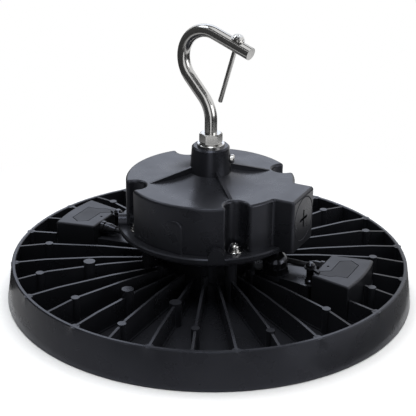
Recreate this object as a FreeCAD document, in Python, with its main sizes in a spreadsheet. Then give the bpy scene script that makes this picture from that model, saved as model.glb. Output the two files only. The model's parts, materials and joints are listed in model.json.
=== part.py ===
"""Round high bay light: die-cast finned body, driver housing, steel hook and two control boxes.

Lengths are millimetres and angles are degrees.  The origin lies on the disc's axis at the plane
that the rim stands on, +Z runs up towards the hook, and +X runs through the conduit box.
"""
import FreeCAD, Part
import math
import os
import re

import Sketcher

# ---------------------------------------------------------------- driving dimensions

SIZES = {
    # die-cast disc: rim, floor and underside
    "rim_radius": (165.0, "outer radius where the rim meets the ground"),
    "rim_top_radius": (160.8, "outer radius at the top of the rim"),
    "rim_height": (30.0, "height of the rim"),
    "rim_wall": (3.2, "wall of the rim"),
    "rim_foot": (1.4, "width of the flat that the rim stands on"),
    "floor_top": (13.5, "height of the floor between the fins"),
    "floor_thickness": (3.5, "thickness of the floor"),
    "land_drop": (4.0, "how far the seal land hangs below the floor"),
    "land_inner": (142.0, "inner radius of the seal land"),
    "land_step": (152.5, "radius where the seal land steps down to the ring's seat"),
    "ring_seat": (2.6, "height of the seat that the lens ring bears on"),
    # hub that carries the driver
    "hub_radius": (33.0, "outer radius of the hub"),
    "hub_bore": (27.0, "radius of the wiring bore"),
    "hub_top": (50.0, "height of the hub's top face"),
    "hub_foot": (1.8, "how far the hub's foot stands out"),
    "hub_foot_top": (20.0, "height of the foot's step"),
    "post_circle": (52.0, "radius that the four driver posts stand on"),
    "post_radius": (5.0, "radius of a driver post"),
    # fins and their bosses
    "fin_pairs": (16, "number of fins of each of the two kinds"),
    "fin_thickness": (2.0, "thickness of a fin"),
    "fin_inner": (45.0, "radius where a fin starts"),
    "fin_root": (0.9, "how far the root ledge stands out on each side of a fin"),
    "fin_root_height": (1.2, "height of the root ledge above the floor"),
    "fin_crest": (33.2, "height of a tall fin"),
    "fin_low_crest": (31.3, "height of a low fin"),
    "fin_sink": (2.0, "how much lower a fin is at its inner end"),
    "fin_crest_in": (88.0, "radius where a fin's crest begins"),
    "fin_crest_out": (134.0, "radius where a fin's crest ends"),
    "rim_boss_circle": (158.0, "radius of the bosses at the rim"),
    "rim_boss_radius": (3.3, "radius of a boss at the rim"),
    "rim_boss_drop": (0.3, "how far a rim boss stays below the rim"),
    "outer_boss_circle": (140.4, "radius of the outer ejector bosses"),
    "inner_boss_circle": (133.1, "radius of the inner ejector bosses"),
    "boss_radius": (3.2, "radius of an ejector boss"),
    "boss_rise": (0.5, "how far a boss stands over its fin"),
    "post_boss_circle": (95.0, "radius of the large bosses"),
    "post_boss_radius": (4.6, "radius of a large boss"),
    "post_boss_rise": (1.6, "how far a large boss stands over its fin"),
    "proud_boss_circle": (100.5, "radius of the bosses that stand well over their fins"),
    "proud_boss_top": (37.3, "height of the bosses that stand well over their fins"),
    "hub_boss_circle": (51.2, "radius of the small bosses near the hub"),
    "hub_boss_top": (34.6, "height of the small bosses near the hub"),
    "hub_boss_radius": (2.4, "radius of a small boss near the hub"),
    # bridge plates between the hub and the control boxes
    "bridge_top": (30.0, "height of the bridge plates"),
    "bridge_thickness": (3.0, "thickness of a bridge plate"),
    "fin_pitch": (11.25, "angle between two neighbouring fins"),
    # control boxes
    "box_inner": (98.2, "distance from the axis to a box's inner wall"),
    "box_outer": (134.0, "radius of a box's outer wall"),
    "box_half_angle": (12.0, "half of the angle that a box spans"),
    "box_top": (42.2, "height of a box's top"),
    "box_wall": (2.0, "wall of a box"),
    "box_edge": (1.6, "rounding of a box's top edge"),
    "box_gap": (0.8, "room between a box and the cut fins"),
    "port_depth": (1.4, "depth of the recess that holds a port cover"),
    "port_gap": (0.5, "room round a port cover"),
    "port_inner": (108.8, "distance from the axis to a port cover's inner edge"),
    "port_outer": (124.0, "distance from the axis to a port cover's outer edge"),
    "port_half_width": (12.6, "half width of a port cover"),
    "port_nose": (18.0, "how far the port cover's pointed side reaches"),
    "port_nose_at": (115.5, "distance from the axis to the point"),
    "tether_width": (3.6, "width of the strap that holds a port cover"),
    "strap_height": (1.2, "thickness of the strap outside the box"),
    "tether_side": (-16.4, "sideways place of the strap's end"),
    "anchor_at": (92.6, "distance along +X to the strap's anchor"),
    "anchor_side": (-9.6, "sideways place of the strap's anchor"),
    "anchor_radius": (2.9, "radius of the strap's anchor"),
    "anchor_rise": (4.9, "how far the anchor stands over the box"),
    "sense_hole": (1.1, "radius of the small hole in a box's top"),
    "sense_hole_at": (103.6, "distance from the axis to the small hole"),
    # leads from the control boxes to the hub
    "lead_radius": (2.2, "radius of a control lead"),
    "lead_side": (7.0, "sideways place of a control lead"),
    "lead_height": (36.0, "height of a control lead"),
    "gland_radius": (5.9, "radius of a small gland's flange"),
    "gland_length": (13.5, "length of a small gland"),
    "grommet_radius": (4.4, "radius of a grommet in the hub wall"),
    "slip": (0.1, "room round a piece that passes through a hole"),
    # output gland on the bridge plate
    "dome_at": (61.5, "distance along +X to the output gland"),
    "dome_side": (-6.0, "sideways place of the output gland"),
    "dome_radius": (10.9, "radius over the corners of the output gland"),
    "dome_nut_height": (5.0, "height of the output gland's hexagon"),
    "dome_seat_radius": (11.4, "radius of the raised seat under the output gland"),
    "dome_seat_rise": (1.0, "height of the raised seat under the output gland"),
    "dome_height": (16.4, "height of the output gland"),
    "cable_radius": (2.6, "radius of the output cable"),
    # driver housing
    "base_radius": (71.0, "radius of the driver base's lip"),
    "base_wall": (2.0, "wall between the output cable's hole and the base's side"),
    "base_bevel": (1.0, "bevel round the foot of the driver base"),
    "base_lip": (1.4, "thickness of the driver base's lip"),
    "base_height": (5.4, "height of the driver base"),
    "base_floor": (3.0, "floor of the driver base"),
    "tray_radius": (57.0, "radius of the tray in the driver base"),
    "gasket_height": (0.6, "height of the cover gasket"),
    "flange_radius": (73.7, "radius of the cover's flange"),
    "flange_height": (3.6, "height of the cover's flange"),
    "drum_radius": (67.5, "radius of the cover's drum"),
    "drum_top": (98.4, "height of the drum's flat top"),
    "drum_wall": (3.0, "wall of the cover"),
    "cone_radius": (50.0, "radius where the cover starts to rise to its sleeve"),
    "sleeve_foot": (103.6, "height of the sleeve's foot"),
    "sleeve_foot_radius": (16.6, "radius of the sleeve's foot"),
    "sleeve_radius": (15.0, "radius at the top of the sleeve"),
    "sleeve_top": (125.0, "height of the sleeve's top"),
    "sleeve_chamfer": (1.3, "chamfer at the top of the sleeve"),
    "rib_start": (108.4, "height of a rib at the sleeve"),
    "rib_reach": (50.5, "radius where a rib ends"),
    "rib_thickness": (2.6, "thickness of a rib"),
    "notch_circle": (62.5, "radius that the screw notches are centred on"),
    "notch_radius": (9.0, "radius of a screw notch"),
    "notch_wall": (2.6, "wall round a screw notch"),
    "notch_angle": (45.0, "angle of the first screw notch"),
    "drum_edge": (2.2, "rounding of the cover's upper edges"),
    "corner_edge": (2.4, "rounding of the notches' and box's upright edges"),
    "conduit_reach": (81.3, "distance from the axis to the conduit face"),
    "conduit_half_width": (20.0, "half width of the conduit box"),
    "plug_radius": (17.6, "radius of the conduit plug"),
    "plug_height": (78.3, "height of the conduit plug's axis"),
    "plug_depth": (5.0, "thickness of the conduit plug"),
    "plug_slot_length": (14.5, "length of the plug's cross slot"),
    "plug_gap": (0.45, "room round the conduit plug"),
    "plug_edge": (0.5, "bevel of the conduit plug's rim"),
    "plug_slot_width": (2.3, "width of the plug's cross slot"),
    "plug_slot_depth": (2.2, "depth of the plug's cross slot"),
    "lug_angle": (-59.4, "angle of the first lug on the flange"),
    "lug_radius": (6.3, "half width of a lug"),
    "lug_axis": (60.9, "height of a lug's round top's centre"),
    "lug_inner": (65.5, "radius where a lug starts"),
    "lug_outer": (74.0, "radius where a lug ends"),
    "pad_angle": (-97.0, "angle that the flat raised pad faces"),
    "pad_face": (67.1, "distance from the axis to the pad's flat face"),
    "pad_left": (4.7, "how far the pad reaches to the left of its angle"),
    "pad_right": (18.6, "how far the pad reaches to the right of its angle"),
    "pad_edge": (0.7, "rounding round the pad's flat face"),
    "pad_top": (86.0, "height of the raised pad's top"),
    "pad_corner": (6.0, "rounding of the raised pad's upper corners"),
    # fasteners of the cover and base
    "screw_circle": (60.5, "radius that the cover screws stand on"),
    "screw_radius": (1.9, "radius of a cover screw's shank"),
    "screw_head_radius": (3.9, "radius of a cover screw's head"),
    "screw_head_height": (3.6, "height of a cover screw's head"),
    "spring_washer_radius": (4.6, "outer radius of a spring washer"),
    "spring_washer_height": (1.5, "height of a spring washer"),
    "flat_washer_radius": (6.1, "outer radius of a cover washer"),
    "flat_washer_height": (1.1, "height of a cover washer"),
    # hook and its fittings
    "hook_turn": (-10.5, "angle of the hook's plane from +X"),
    "rod_radius": (5.0, "radius of the hook's rod"),
    "shank_foot": (98.0, "height of the lower end of the hook"),
    "hook_bend_start": (145.0, "height where the shank leaves the axis"),
    "hook_bend_radius": (26.0, "radius of the lower bend"),
    "hook_bend_angle": (45.0, "angle of the lower bend"),
    "eye_radius": (23.5, "radius of the eye's centre line"),
    "eye_offset": (-4.0, "sideways place of the eye's centre"),
    "arm_slope": (17.0, "how steeply the arm runs down"),
    "arm_length": (35.2, "length of the straight arm"),
    "pin_at": (21.0, "distance along the arm to the safety pin"),
    "pin_radius": (1.8, "radius of the safety pin"),
    "pin_length": (49.0, "length of the safety pin below the arm's centre line"),
    "pin_head_radius": (4.3, "radius of the safety pin's head"),
    "pin_head_height": (2.8, "height of the safety pin's head"),
    "pin_washer_radius": (5.3, "radius of the safety pin's washer"),
    "pin_washer_height": (0.9, "height of the safety pin's washer"),
    "nut_flats": (16.0, "width across the hook nut's flats"),
    "nut_height": (8.4, "height of the hook nut"),
    "hook_washer_radius": (11.0, "radius of the hook washer"),
    "hook_washer_height": (2.0, "height of the hook washer"),
    "lock_height": (114.0, "height of the lock screw's axis"),
    "lock_angle": (22.5, "angle of the lock screw"),
    "lock_radius": (2.0, "radius of the lock screw's shank"),
    "lock_head_radius": (3.7, "radius of the lock screw's head"),
    "lock_head_height": (2.8, "height of the lock screw's head"),
    # light engine under the floor
    "board_radius": (136.0, "outer radius of the LED board"),
    "board_bore": (12.0, "radius of the hole in the LED board"),
    "board_height": (1.6, "thickness of the LED board"),
    "chip_side": (3.2, "side of an LED"),
    "chip_height": (0.7, "height of an LED"),
    "ring_one": (40.0, "radius of the first ring of LEDs"),
    "ring_two": (78.0, "radius of the second ring of LEDs"),
    "ring_three": (116.0, "radius of the third ring of LEDs"),
    "count_one": (8, "LEDs in the first ring"),
    "count_two": (16, "LEDs in the second ring"),
    "count_three": (24, "LEDs in the third ring"),
    "lens_plate_radius": (151.0, "outer radius of the lens plate"),
    "lens_field_radius": (138.5, "outer radius of the lens plate's raised field"),
    "lens_sheet": (2.0, "thickness of the lens plate"),
    "lens_radius": (8.0, "radius of a lens at its foot"),
    "lens_rise": (3.6, "how far a lens stands out"),
    "seal_height": (1.0, "height of the lens gasket"),
    "seal_inner": (145.0, "inner radius of the lens gasket"),
    "seal_outer": (149.5, "outer radius of the lens gasket"),
    "ring_inner": (145.5, "inner radius of the lens ring"),
    "ring_outer": (160.6, "outer radius of the lens ring"),
    "ring_height": (1.4, "height of the lens ring"),
    "ring_screw_circle": (156.5, "radius of the ring screws"),
    "ring_screw_count": (16, "number of ring screws"),
    "ring_screw_radius": (1.5, "radius of a ring screw's shank"),
    "ring_screw_length": (7.0, "length of a ring screw's shank"),
    "ring_screw_head": (2.7, "radius of a ring screw's head"),
    "ring_screw_head_height": (0.9, "height of a ring screw's head"),
    # electronics in the driver housing
    "standoff_circle": (47.0, "radius that the board's standoffs stand on"),
    "standoff_height": (6.0, "height of a standoff over the tray"),
    "driver_board_radius": (50.5, "radius of the driver board"),
    "driver_board_height": (1.6, "thickness of the driver board"),
    "capacitor_radius": (8.0, "radius of a capacitor"),
    "capacitor_height": (24.0, "height of a capacitor"),
    "choke_radius": (10.5, "radius of the choke"),
    "choke_height": (9.0, "height of the choke"),
    "winding_height": (16.0, "height of the transformer's winding"),
}

DOC = FreeCAD.newDocument("HighBayLight")
SHEET = DOC.addObject("Spreadsheet::Sheet", "Sizes")


def fill_sheet():
    """Write each driving dimension, its alias and its meaning into the spreadsheet."""
    for row, (alias, (value, meaning)) in enumerate(SIZES.items(), start=1):
        SHEET.set(f"A{row}", alias)
        SHEET.set(f"B{row}", str(value))
        SHEET.set(f"C{row}", meaning)
        SHEET.setAlias(f"B{row}", alias)
    DOC.recompute()


fill_sheet()

# ---------------------------------------------------------------- expressions

ALIAS = re.compile(r"[a-z_]+")


def bound(formula):
    """Return the formula with each alias pointed at the spreadsheet."""
    return ALIAS.sub(lambda word: "Sizes." + word[0] if word[0] in SIZES else word[0], formula)


def value(formula):
    """Return the number that a formula in the spreadsheet's aliases works out to."""
    return float(SHEET.evalExpression(bound(formula)))


def bind(thing, **formulas):
    """Tie properties of a document object to formulas; a double underscore stands for a dot."""
    for name, formula in formulas.items():
        thing.setExpression(name.replace("__", "."), bound(formula))


# formulas that several pieces share
FLOOR_BOTTOM = "(floor_top - floor_thickness)"
BASE_TOP = "(hub_top + base_height)"
TRAY_TOP = "(hub_top + base_floor)"
FLANGE_FOOT = "(hub_top + base_height + gasket_height)"
FLANGE_TOP = f"({FLANGE_FOOT} + flange_height)"
BOARD_FOOT = f"({TRAY_TOP} + standoff_height)"
BOARD_TOP = f"({BOARD_FOOT} + driver_board_height)"
ARM_X = "(eye_offset + eye_radius * sin(arm_slope))"
SEAL_TOP = f"({FLOOR_BOTTOM} - land_drop)"
LENS_FLANGE_TOP = f"({SEAL_TOP} - seal_height)"
CHIP_FOOT = f"({FLOOR_BOTTOM} - board_height - chip_height)"
GLAND_FOOT = "(bridge_top + dome_seat_rise)"
FIELD_TOP = f"({CHIP_FOOT} - slip * 2)"


# radius of the arc that leaves the drum's top level and rises to the sleeve's foot
CONE_SWEEP = ("(((cone_radius - sleeve_foot_radius) ^ 2 + (sleeve_foot - drum_top) ^ 2)"
              " / (2 * (sleeve_foot - drum_top)))")


# radius of the driver base under its lip, outside the output cable's hole
BASE_BODY = "(sqrt(dome_at ^ 2 + dome_side ^ 2) + cable_radius + slip + base_wall)"
# radius of the tapered sleeve where the lower edge of the lock screw's head meets it
LOCK_SEAT = ("(sleeve_foot_radius - (sleeve_foot_radius - sleeve_radius)"
             " * (lock_height - lock_head_radius - sleeve_foot)"
             " / (sleeve_top - sleeve_chamfer - sleeve_foot))")


# ---------------------------------------------------------------- sketch and feature helpers

def new_body(name):
    """Add an empty body with its own label."""
    return DOC.addObject("PartDesign::Body", name)


def origin_piece(body, role):
    """Return one of the body's origin planes or axes."""
    return next(piece for piece in body.Origin.OriginFeatures if piece.Role == role)


def new_sketch(body, name, plane, x="0", y="0", z="0", turn=None, tilt=None):
    """Add a sketch on an origin plane, moved within that plane's own axes.

    turn swings an upright sketch about the vertical axis and tilt rolls it within its plane.
    """
    sketch = body.newObject("Sketcher::SketchObject", name)
    sketch.AttachmentSupport = [(origin_piece(body, plane), "")]
    sketch.MapMode = "FlatFace"
    bind(sketch, AttachmentOffset__Base__x=x, AttachmentOffset__Base__y=y,
         AttachmentOffset__Base__z=z)
    if turn or tilt:
        axis = ("0", "1", "0") if turn else ("0", "0", "1")
        bind(sketch, AttachmentOffset__Rotation__Axis__x=axis[0],
             AttachmentOffset__Rotation__Axis__y=axis[1],
             AttachmentOffset__Rotation__Axis__z=axis[2],
             AttachmentOffset__Rotation__Angle=f"({turn or tilt}) * 1deg")
    return sketch


def pin_down(sketch, geometry, end, x, y):
    """Hold one end of a line or arc at a formula's place."""
    for kind, formula in (("DistanceX", x), ("DistanceY", y)):
        place = Sketcher.Constraint(kind, -1, 1, geometry, end, value(formula))
        index = sketch.addConstraint(place)
        sketch.setExpression(f"Constraints[{index}]", bound(formula))


def add_arc(sketch, start, end, radius):
    """Add an arc; a radius formula that starts with a minus sign turns clockwise."""
    clockwise = radius.startswith("-")
    formula = radius.lstrip("-")
    size = value(formula)
    chord = end - start
    rise = math.sqrt(max(size * size - chord.Length ** 2 / 4, 0.0))
    side = FreeCAD.Vector(-chord.y, chord.x, 0) / chord.Length
    centre = (start + end) / 2 + side * (-rise if clockwise else rise)
    first, last = (end, start) if clockwise else (start, end)
    begin = math.atan2(first.y - centre.y, first.x - centre.x)
    finish = math.atan2(last.y - centre.y, last.x - centre.x)
    if finish < begin:
        finish += 2 * math.pi
    circle = Part.Circle(centre, FreeCAD.Vector(0, 0, 1), size)
    geometry = sketch.addGeometry(Part.ArcOfCircle(circle, begin, finish))
    index = sketch.addConstraint(Sketcher.Constraint("Radius", geometry, size))
    sketch.setExpression(f"Constraints[{index}]", bound(formula))
    return (geometry, 2, 1) if clockwise else (geometry, 1, 2)


def draw(sketch, corners, closed=True):
    """Draw an outline; a corner's third formula is the radius of the arc that leads to it."""
    points = [FreeCAD.Vector(value(corner[0]), value(corner[1]), 0) for corner in corners]
    total = len(corners)
    runs = []
    for index in range(total if closed else total - 1):
        after = (index + 1) % total
        if len(corners[after]) > 2:
            runs.append(add_arc(sketch, points[index], points[after], corners[after][2]))
        else:
            line = sketch.addGeometry(Part.LineSegment(points[index], points[after]))
            runs.append((line, 1, 2))
    for index in range(len(runs) if closed else len(runs) - 1):
        here, there = runs[index], runs[(index + 1) % len(runs)]
        sketch.addConstraint(Sketcher.Constraint("Coincident", here[0], here[2],
                                                 there[0], there[1]))
    for index, run in enumerate(runs):
        pin_down(sketch, run[0], run[1], corners[index][0], corners[index][1])
    if not closed:
        pin_down(sketch, runs[-1][0], runs[-1][2], corners[-1][0], corners[-1][1])
    return sketch


def draw_circle(sketch, radius, x="0", y="0"):
    """Draw a circle at a formula's place."""
    centre = FreeCAD.Vector(value(x), value(y), 0)
    circle = sketch.addGeometry(Part.Circle(centre, FreeCAD.Vector(0, 0, 1), value(radius)))
    pin_down(sketch, circle, 3, x, y)
    index = sketch.addConstraint(Sketcher.Constraint("Radius", circle, value(radius)))
    sketch.setExpression(f"Constraints[{index}]", bound(radius))
    return sketch


def draw_sector(sketch, inner, outer, half_angle):
    """Draw a ring sector centred on the sketch's first axis."""
    corners = []
    for radius, side in ((inner, "-1"), (outer, "-1"), (outer, "1"), (inner, "1")):
        corners.append([f"({radius}) * cos({half_angle})", f"({radius}) * sin({half_angle}) * {side}"])
    corners[2].append(f"({outer})")
    corners[0].append(f"-({inner})")
    return draw(sketch, corners)


def pad(body, sketch, length, middle=False, back=False):
    """Pad a sketch along its normal."""
    feature = body.newObject("PartDesign::Pad", sketch.Name + "_pad")
    feature.Profile = sketch
    feature.Midplane = middle
    feature.Reversed = back
    bind(feature, Length=length)
    body.Tip = feature
    return feature


def pocket(body, sketch, length, back=True):
    """Cut a sketch along its normal, or against it when back is false."""
    feature = body.newObject("PartDesign::Pocket", sketch.Name + "_cut")
    feature.Profile = sketch
    feature.Reversed = back
    bind(feature, Length=length)
    body.Tip = feature
    return feature


def revolve(body, sketch, cut=False):
    """Turn a sketch about its own upright axis, as added or removed material."""
    kind = "Groove" if cut else "Revolution"
    feature = body.newObject(f"PartDesign::{kind}", f"{sketch.Name}_{kind.lower()}")
    feature.Profile = sketch
    feature.ReferenceAxis = (sketch, ["V_Axis"])
    feature.Angle = 360
    body.Tip = feature
    return feature


def ring_of(body, feature, count):
    """Repeat a feature evenly about the vertical axis."""
    pattern = body.newObject("PartDesign::PolarPattern", feature.Name + "_ring")
    pattern.Originals = [feature]
    pattern.Axis = (origin_piece(body, "Z_Axis"), [""])
    pattern.Angle = 360
    bind(pattern, Occurrences=count)
    body.Tip = pattern
    return pattern


def turned(name, corners, x="0", y="0", count=None):
    """Make a body turned about an upright axis at x, y; count repeats it about the Z axis."""
    body = new_body(name)
    sketch = new_sketch(body, name + "_half", "XZ_Plane", x=x, z=f"-({y})")
    feature = revolve(body, draw(sketch, corners))
    if count:
        ring_of(body, feature, count)
    return body


def tube(inner, outer, low, high):
    """Return the half section of a plain ring."""
    return [(inner, low), (outer, low), (outer, high), (inner, high)]


def polar(radius, angle):
    """Return the x and y formulas of a place given by radius and angle."""
    return f"({radius}) * cos({angle})", f"({radius}) * sin({angle})"


def stand(thing, angle):
    """Turn a finished piece about the Z axis by a formula's angle."""
    bind(thing, Placement__Rotation__Axis__x="0", Placement__Rotation__Axis__y="0",
         Placement__Rotation__Axis__z="1", Placement__Rotation__Angle=f"({angle}) * 1deg")
    return thing


def edges_where(shape, test):
    """Return the names of the edges whose middle point and direction pass a test."""
    names = []
    for index, edge in enumerate(shape.Edges, start=1):
        middle = edge.valueAt((edge.FirstParameter + edge.LastParameter) / 2)
        if test(edge, middle):
            names.append(f"Edge{index}")
    return names


def upright(edge):
    """Tell whether an edge is a straight vertical one."""
    if not isinstance(edge.Curve, Part.Line):
        return False
    return abs(abs(edge.tangentAt(edge.FirstParameter).z) - 1) < 1e-6


def level(edge, height):
    """Tell whether an edge lies in the horizontal plane at a height."""
    box = edge.BoundBox
    return abs(box.ZMin - height) < 0.01 and abs(box.ZMax - height) < 0.01


def round_edges(body, base, names, radius):
    """Fillet named edges of the body's last feature."""
    fillet = body.newObject("PartDesign::Fillet", base.Name + "_round")
    fillet.Base = (base, names)
    bind(fillet, Radius=radius)
    body.Tip = fillet
    return fillet


# ---------------------------------------------------------------- heatsink

def fin(body, name, crest, first_angle):
    """Add one kind of fin: a plate on a root ledge, repeated round the disc."""
    start = f"({first_angle})"
    for part, thick, corners in (
        ("plate", "fin_thickness", [
            ("fin_inner", "floor_top - fin_root"),
            ("rim_top_radius - rim_wall / 2", "floor_top - fin_root"),
            ("rim_top_radius - rim_wall / 2", "rim_height - rim_boss_drop"),
            ("fin_crest_out", crest),
            ("fin_crest_in", crest),
            ("fin_inner", f"{crest} - fin_sink")]),
        ("root", "fin_thickness + 2 * fin_root", [
            ("fin_inner", "floor_top - fin_root"),
            ("rim_top_radius - rim_wall / 2", "floor_top - fin_root"),
            ("rim_top_radius - rim_wall / 2", "floor_top + fin_root_height"),
            ("fin_inner", "floor_top + fin_root_height")]),
    ):
        sketch = new_sketch(body, f"{name}_{part}", "XZ_Plane", turn=start)
        ring_of(body, pad(body, draw(sketch, corners), thick, middle=True), "fin_pairs")


def bosses(body, name, circle, angle, radius, top, count):
    """Add a ring of round bosses that stand on the floor."""
    x, y = polar(circle, angle)
    sketch = new_sketch(body, name, "XY_Plane", z="floor_top - fin_root")
    feature = pad(body, draw_circle(sketch, radius, x, y), f"{top} - (floor_top - fin_root)")
    ring_of(body, feature, count)


def make_heatsink():
    """Die-cast disc: rim, floor, hub, fins, bosses, posts and bridge plates in one piece."""
    body = new_body("heatsink")
    half = new_sketch(body, "disc_half", "XZ_Plane")
    draw(half, [
        ("hub_bore", FLOOR_BOTTOM),
        ("land_inner", FLOOR_BOTTOM),
        ("land_inner", SEAL_TOP),
        ("land_step", SEAL_TOP),
        ("land_step", "ring_seat"),
        ("rim_radius - rim_foot - 1.8", "ring_seat"),
        ("rim_radius - rim_foot", "0"),
        ("rim_radius - 0.5", "0"),
        ("rim_radius", "0.8"),
        ("rim_top_radius", "rim_height - 0.8"),
        ("rim_top_radius - 0.8", "rim_height"),
        ("rim_top_radius - rim_wall + 0.5", "rim_height"),
        ("rim_top_radius - rim_wall", "rim_height - 0.5"),
        ("rim_top_radius - rim_wall + 0.6", "floor_top"),
        ("hub_radius + hub_foot", "floor_top"),
        ("hub_radius + hub_foot", "hub_foot_top - hub_foot"),
        ("hub_radius", "hub_foot_top"),
        ("hub_radius", "hub_top"),
        ("hub_bore", "hub_top")])
    revolve(body, half)
    fin(body, "low_fin", "fin_low_crest", "fin_pitch")
    fin(body, "tall_fin", "fin_crest", "0")
    bosses(body, "rim_boss", "rim_boss_circle", "fin_pitch", "rim_boss_radius",
           "(rim_height - rim_boss_drop)", "fin_pairs")
    tall = "(fin_crest - (outer_boss_circle - fin_crest_out) / 8 + boss_rise)"
    bosses(body, "outer_boss", "outer_boss_circle", "0", "boss_radius", tall, "fin_pairs / 2")
    bosses(body, "inner_boss", "inner_boss_circle", "2 * fin_pitch", "boss_radius",
           "(fin_crest + boss_rise)", "fin_pairs / 2")
    for name, steps in (("corner_boss", "4"), ("left_boss", "7")):
        bosses(body, name, "proud_boss_circle", f"{steps} * fin_pitch", "post_boss_radius",
               "proud_boss_top", "2")
    bosses(body, "right_boss", "post_boss_circle", "9 * fin_pitch", "post_boss_radius",
           "(fin_low_crest + post_boss_rise)", "2")
    bosses(body, "hub_boss", "hub_boss_circle", "2 * fin_pitch", "hub_boss_radius",
           "hub_boss_top", "fin_pairs / 2")
    bosses(body, "driver_post", "post_circle", "notch_angle", "post_radius", "hub_top", "4")
    # the middle fin of each bridge stops under the plate that joins its neighbours
    under = new_sketch(body, "bridge_room", "XY_Plane", z="bridge_top - bridge_thickness")
    draw_sector(under, "hub_radius + 0.01", "box_inner - box_gap",
                "fin_pitch - asin(fin_thickness / (hub_radius + fin_inner)) / 1deg")
    ring_of(body, pocket(body, under, "fin_crest"), "2")
    plate = new_sketch(body, "bridge_plate", "XY_Plane", z="bridge_top - bridge_thickness")
    draw_sector(plate, "hub_radius - 1", "box_inner - box_gap", "fin_pitch")
    ring_of(body, pad(body, plate, "bridge_thickness"), "2")
    seat = new_sketch(body, "gland_seat", "XY_Plane", z="bridge_top - bridge_thickness")
    draw_circle(seat, "dome_seat_radius", "dome_at", "dome_side")
    pad(body, seat, "bridge_thickness + dome_seat_rise")
    # room for the control boxes, which stand on the floor
    room = new_sketch(body, "box_room", "XY_Plane", z="floor_top")
    draw_sector(room, "box_inner - box_gap", "box_outer + box_gap", "box_half_angle + 0.4")
    ring_of(body, pocket(body, room, "fin_crest"), "2")
    # holes: output cable in the bridge, control leads in the hub, screws in posts and seat
    cable = new_sketch(body, "cable_hole", "XY_Plane", z="floor_top + fin_root_height * 2")
    pocket(body, draw_circle(cable, "cable_radius + slip", "dome_at", "dome_side"), "fin_crest")
    lead = new_sketch(body, "lead_hole", "YZ_Plane", z="hub_bore - 4")
    draw_circle(lead, "grommet_radius + slip", "lead_side", "lead_height")
    ring_of(body, pocket(body, lead, "hub_radius - hub_bore + 6"), "2")
    for name, circle, angle, radius, low, length, count in (
        ("post_hole", "post_circle", "notch_angle", "screw_radius + slip",
         "hub_top - 14", "14", "4"),
        ("ring_hole", "ring_screw_circle", "fin_pitch", "ring_screw_radius + slip",
         "ring_seat", "ring_screw_length", "ring_screw_count"),
    ):
        x, y = polar(circle, angle)
        hole = new_sketch(body, name, "XY_Plane", z=low)
        ring_of(body, pocket(body, draw_circle(hole, radius, x, y), length), count)
    return body


# ---------------------------------------------------------------- driver base and cover

def make_driver_base():
    """Die-cast tray that closes the driver housing and sits on the hub and the posts."""
    body = new_body("driver_base")
    half = new_sketch(body, "base_half", "XZ_Plane")
    draw(half, [
        ("0", "hub_top"),
        (f"{BASE_BODY} - base_bevel", "hub_top"),
        (BASE_BODY, "hub_top + base_bevel"),
        (BASE_BODY, f"{BASE_TOP} - base_lip"),
        ("base_radius", f"{BASE_TOP} - base_lip"),
        ("base_radius", BASE_TOP),
        ("tray_radius", BASE_TOP),
        ("tray_radius - 1.2", TRAY_TOP),
        ("0", TRAY_TOP)])
    revolve(body, half)
    x, y = polar("standoff_circle", "0")
    studs = new_sketch(body, "standoff", "XY_Plane", z="hub_top + 1")
    ring_of(body, pad(body, draw_circle(studs, "3.2", x, y), f"{BOARD_FOOT} - (hub_top + 1)"), "4")
    for name, circle, radius, low, length in (
        ("base_cover_hole", "screw_circle", "screw_radius + slip", "hub_top", "base_height"),
        ("base_post_hole", "post_circle", "screw_radius + 2 * slip", "hub_top", "base_floor"),
    ):
        x, y = polar(circle, "notch_angle")
        hole = new_sketch(body, name, "XY_Plane", z=low)
        ring_of(body, pocket(body, draw_circle(hole, radius, x, y), length), "4")
    wires = new_sketch(body, "wire_hole", "XY_Plane", z="hub_top")
    pocket(body, draw_circle(wires, "hub_bore / 3"), "base_floor")
    cable = new_sketch(body, "base_cable_hole", "XY_Plane", z="hub_top")
    pocket(body, draw_circle(cable, "cable_radius + slip", "dome_at", "dome_side"), "base_height")
    return body


def notch_sketches(body, name, radius, low):
    """Return the two sketches that make a screw notch: its round end and its open side."""
    x, y = polar("notch_circle", "notch_angle")
    end = draw_circle(new_sketch(body, name + "_end", "XY_Plane", z=low), radius, x, y)
    side = new_sketch(body, name + "_side", "XY_Plane", z=low)
    corners = []
    for reach, across in (("0", "-1"), ("20", "-1"), ("20", "1"), ("0", "1")):
        corners.append((
            f"(notch_circle + {reach}) * cos(notch_angle) - {across} * ({radius}) * sin(notch_angle)",
            f"(notch_circle + {reach}) * sin(notch_angle) + {across} * ({radius}) * cos(notch_angle)"))
    return end, draw(side, corners)


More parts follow.
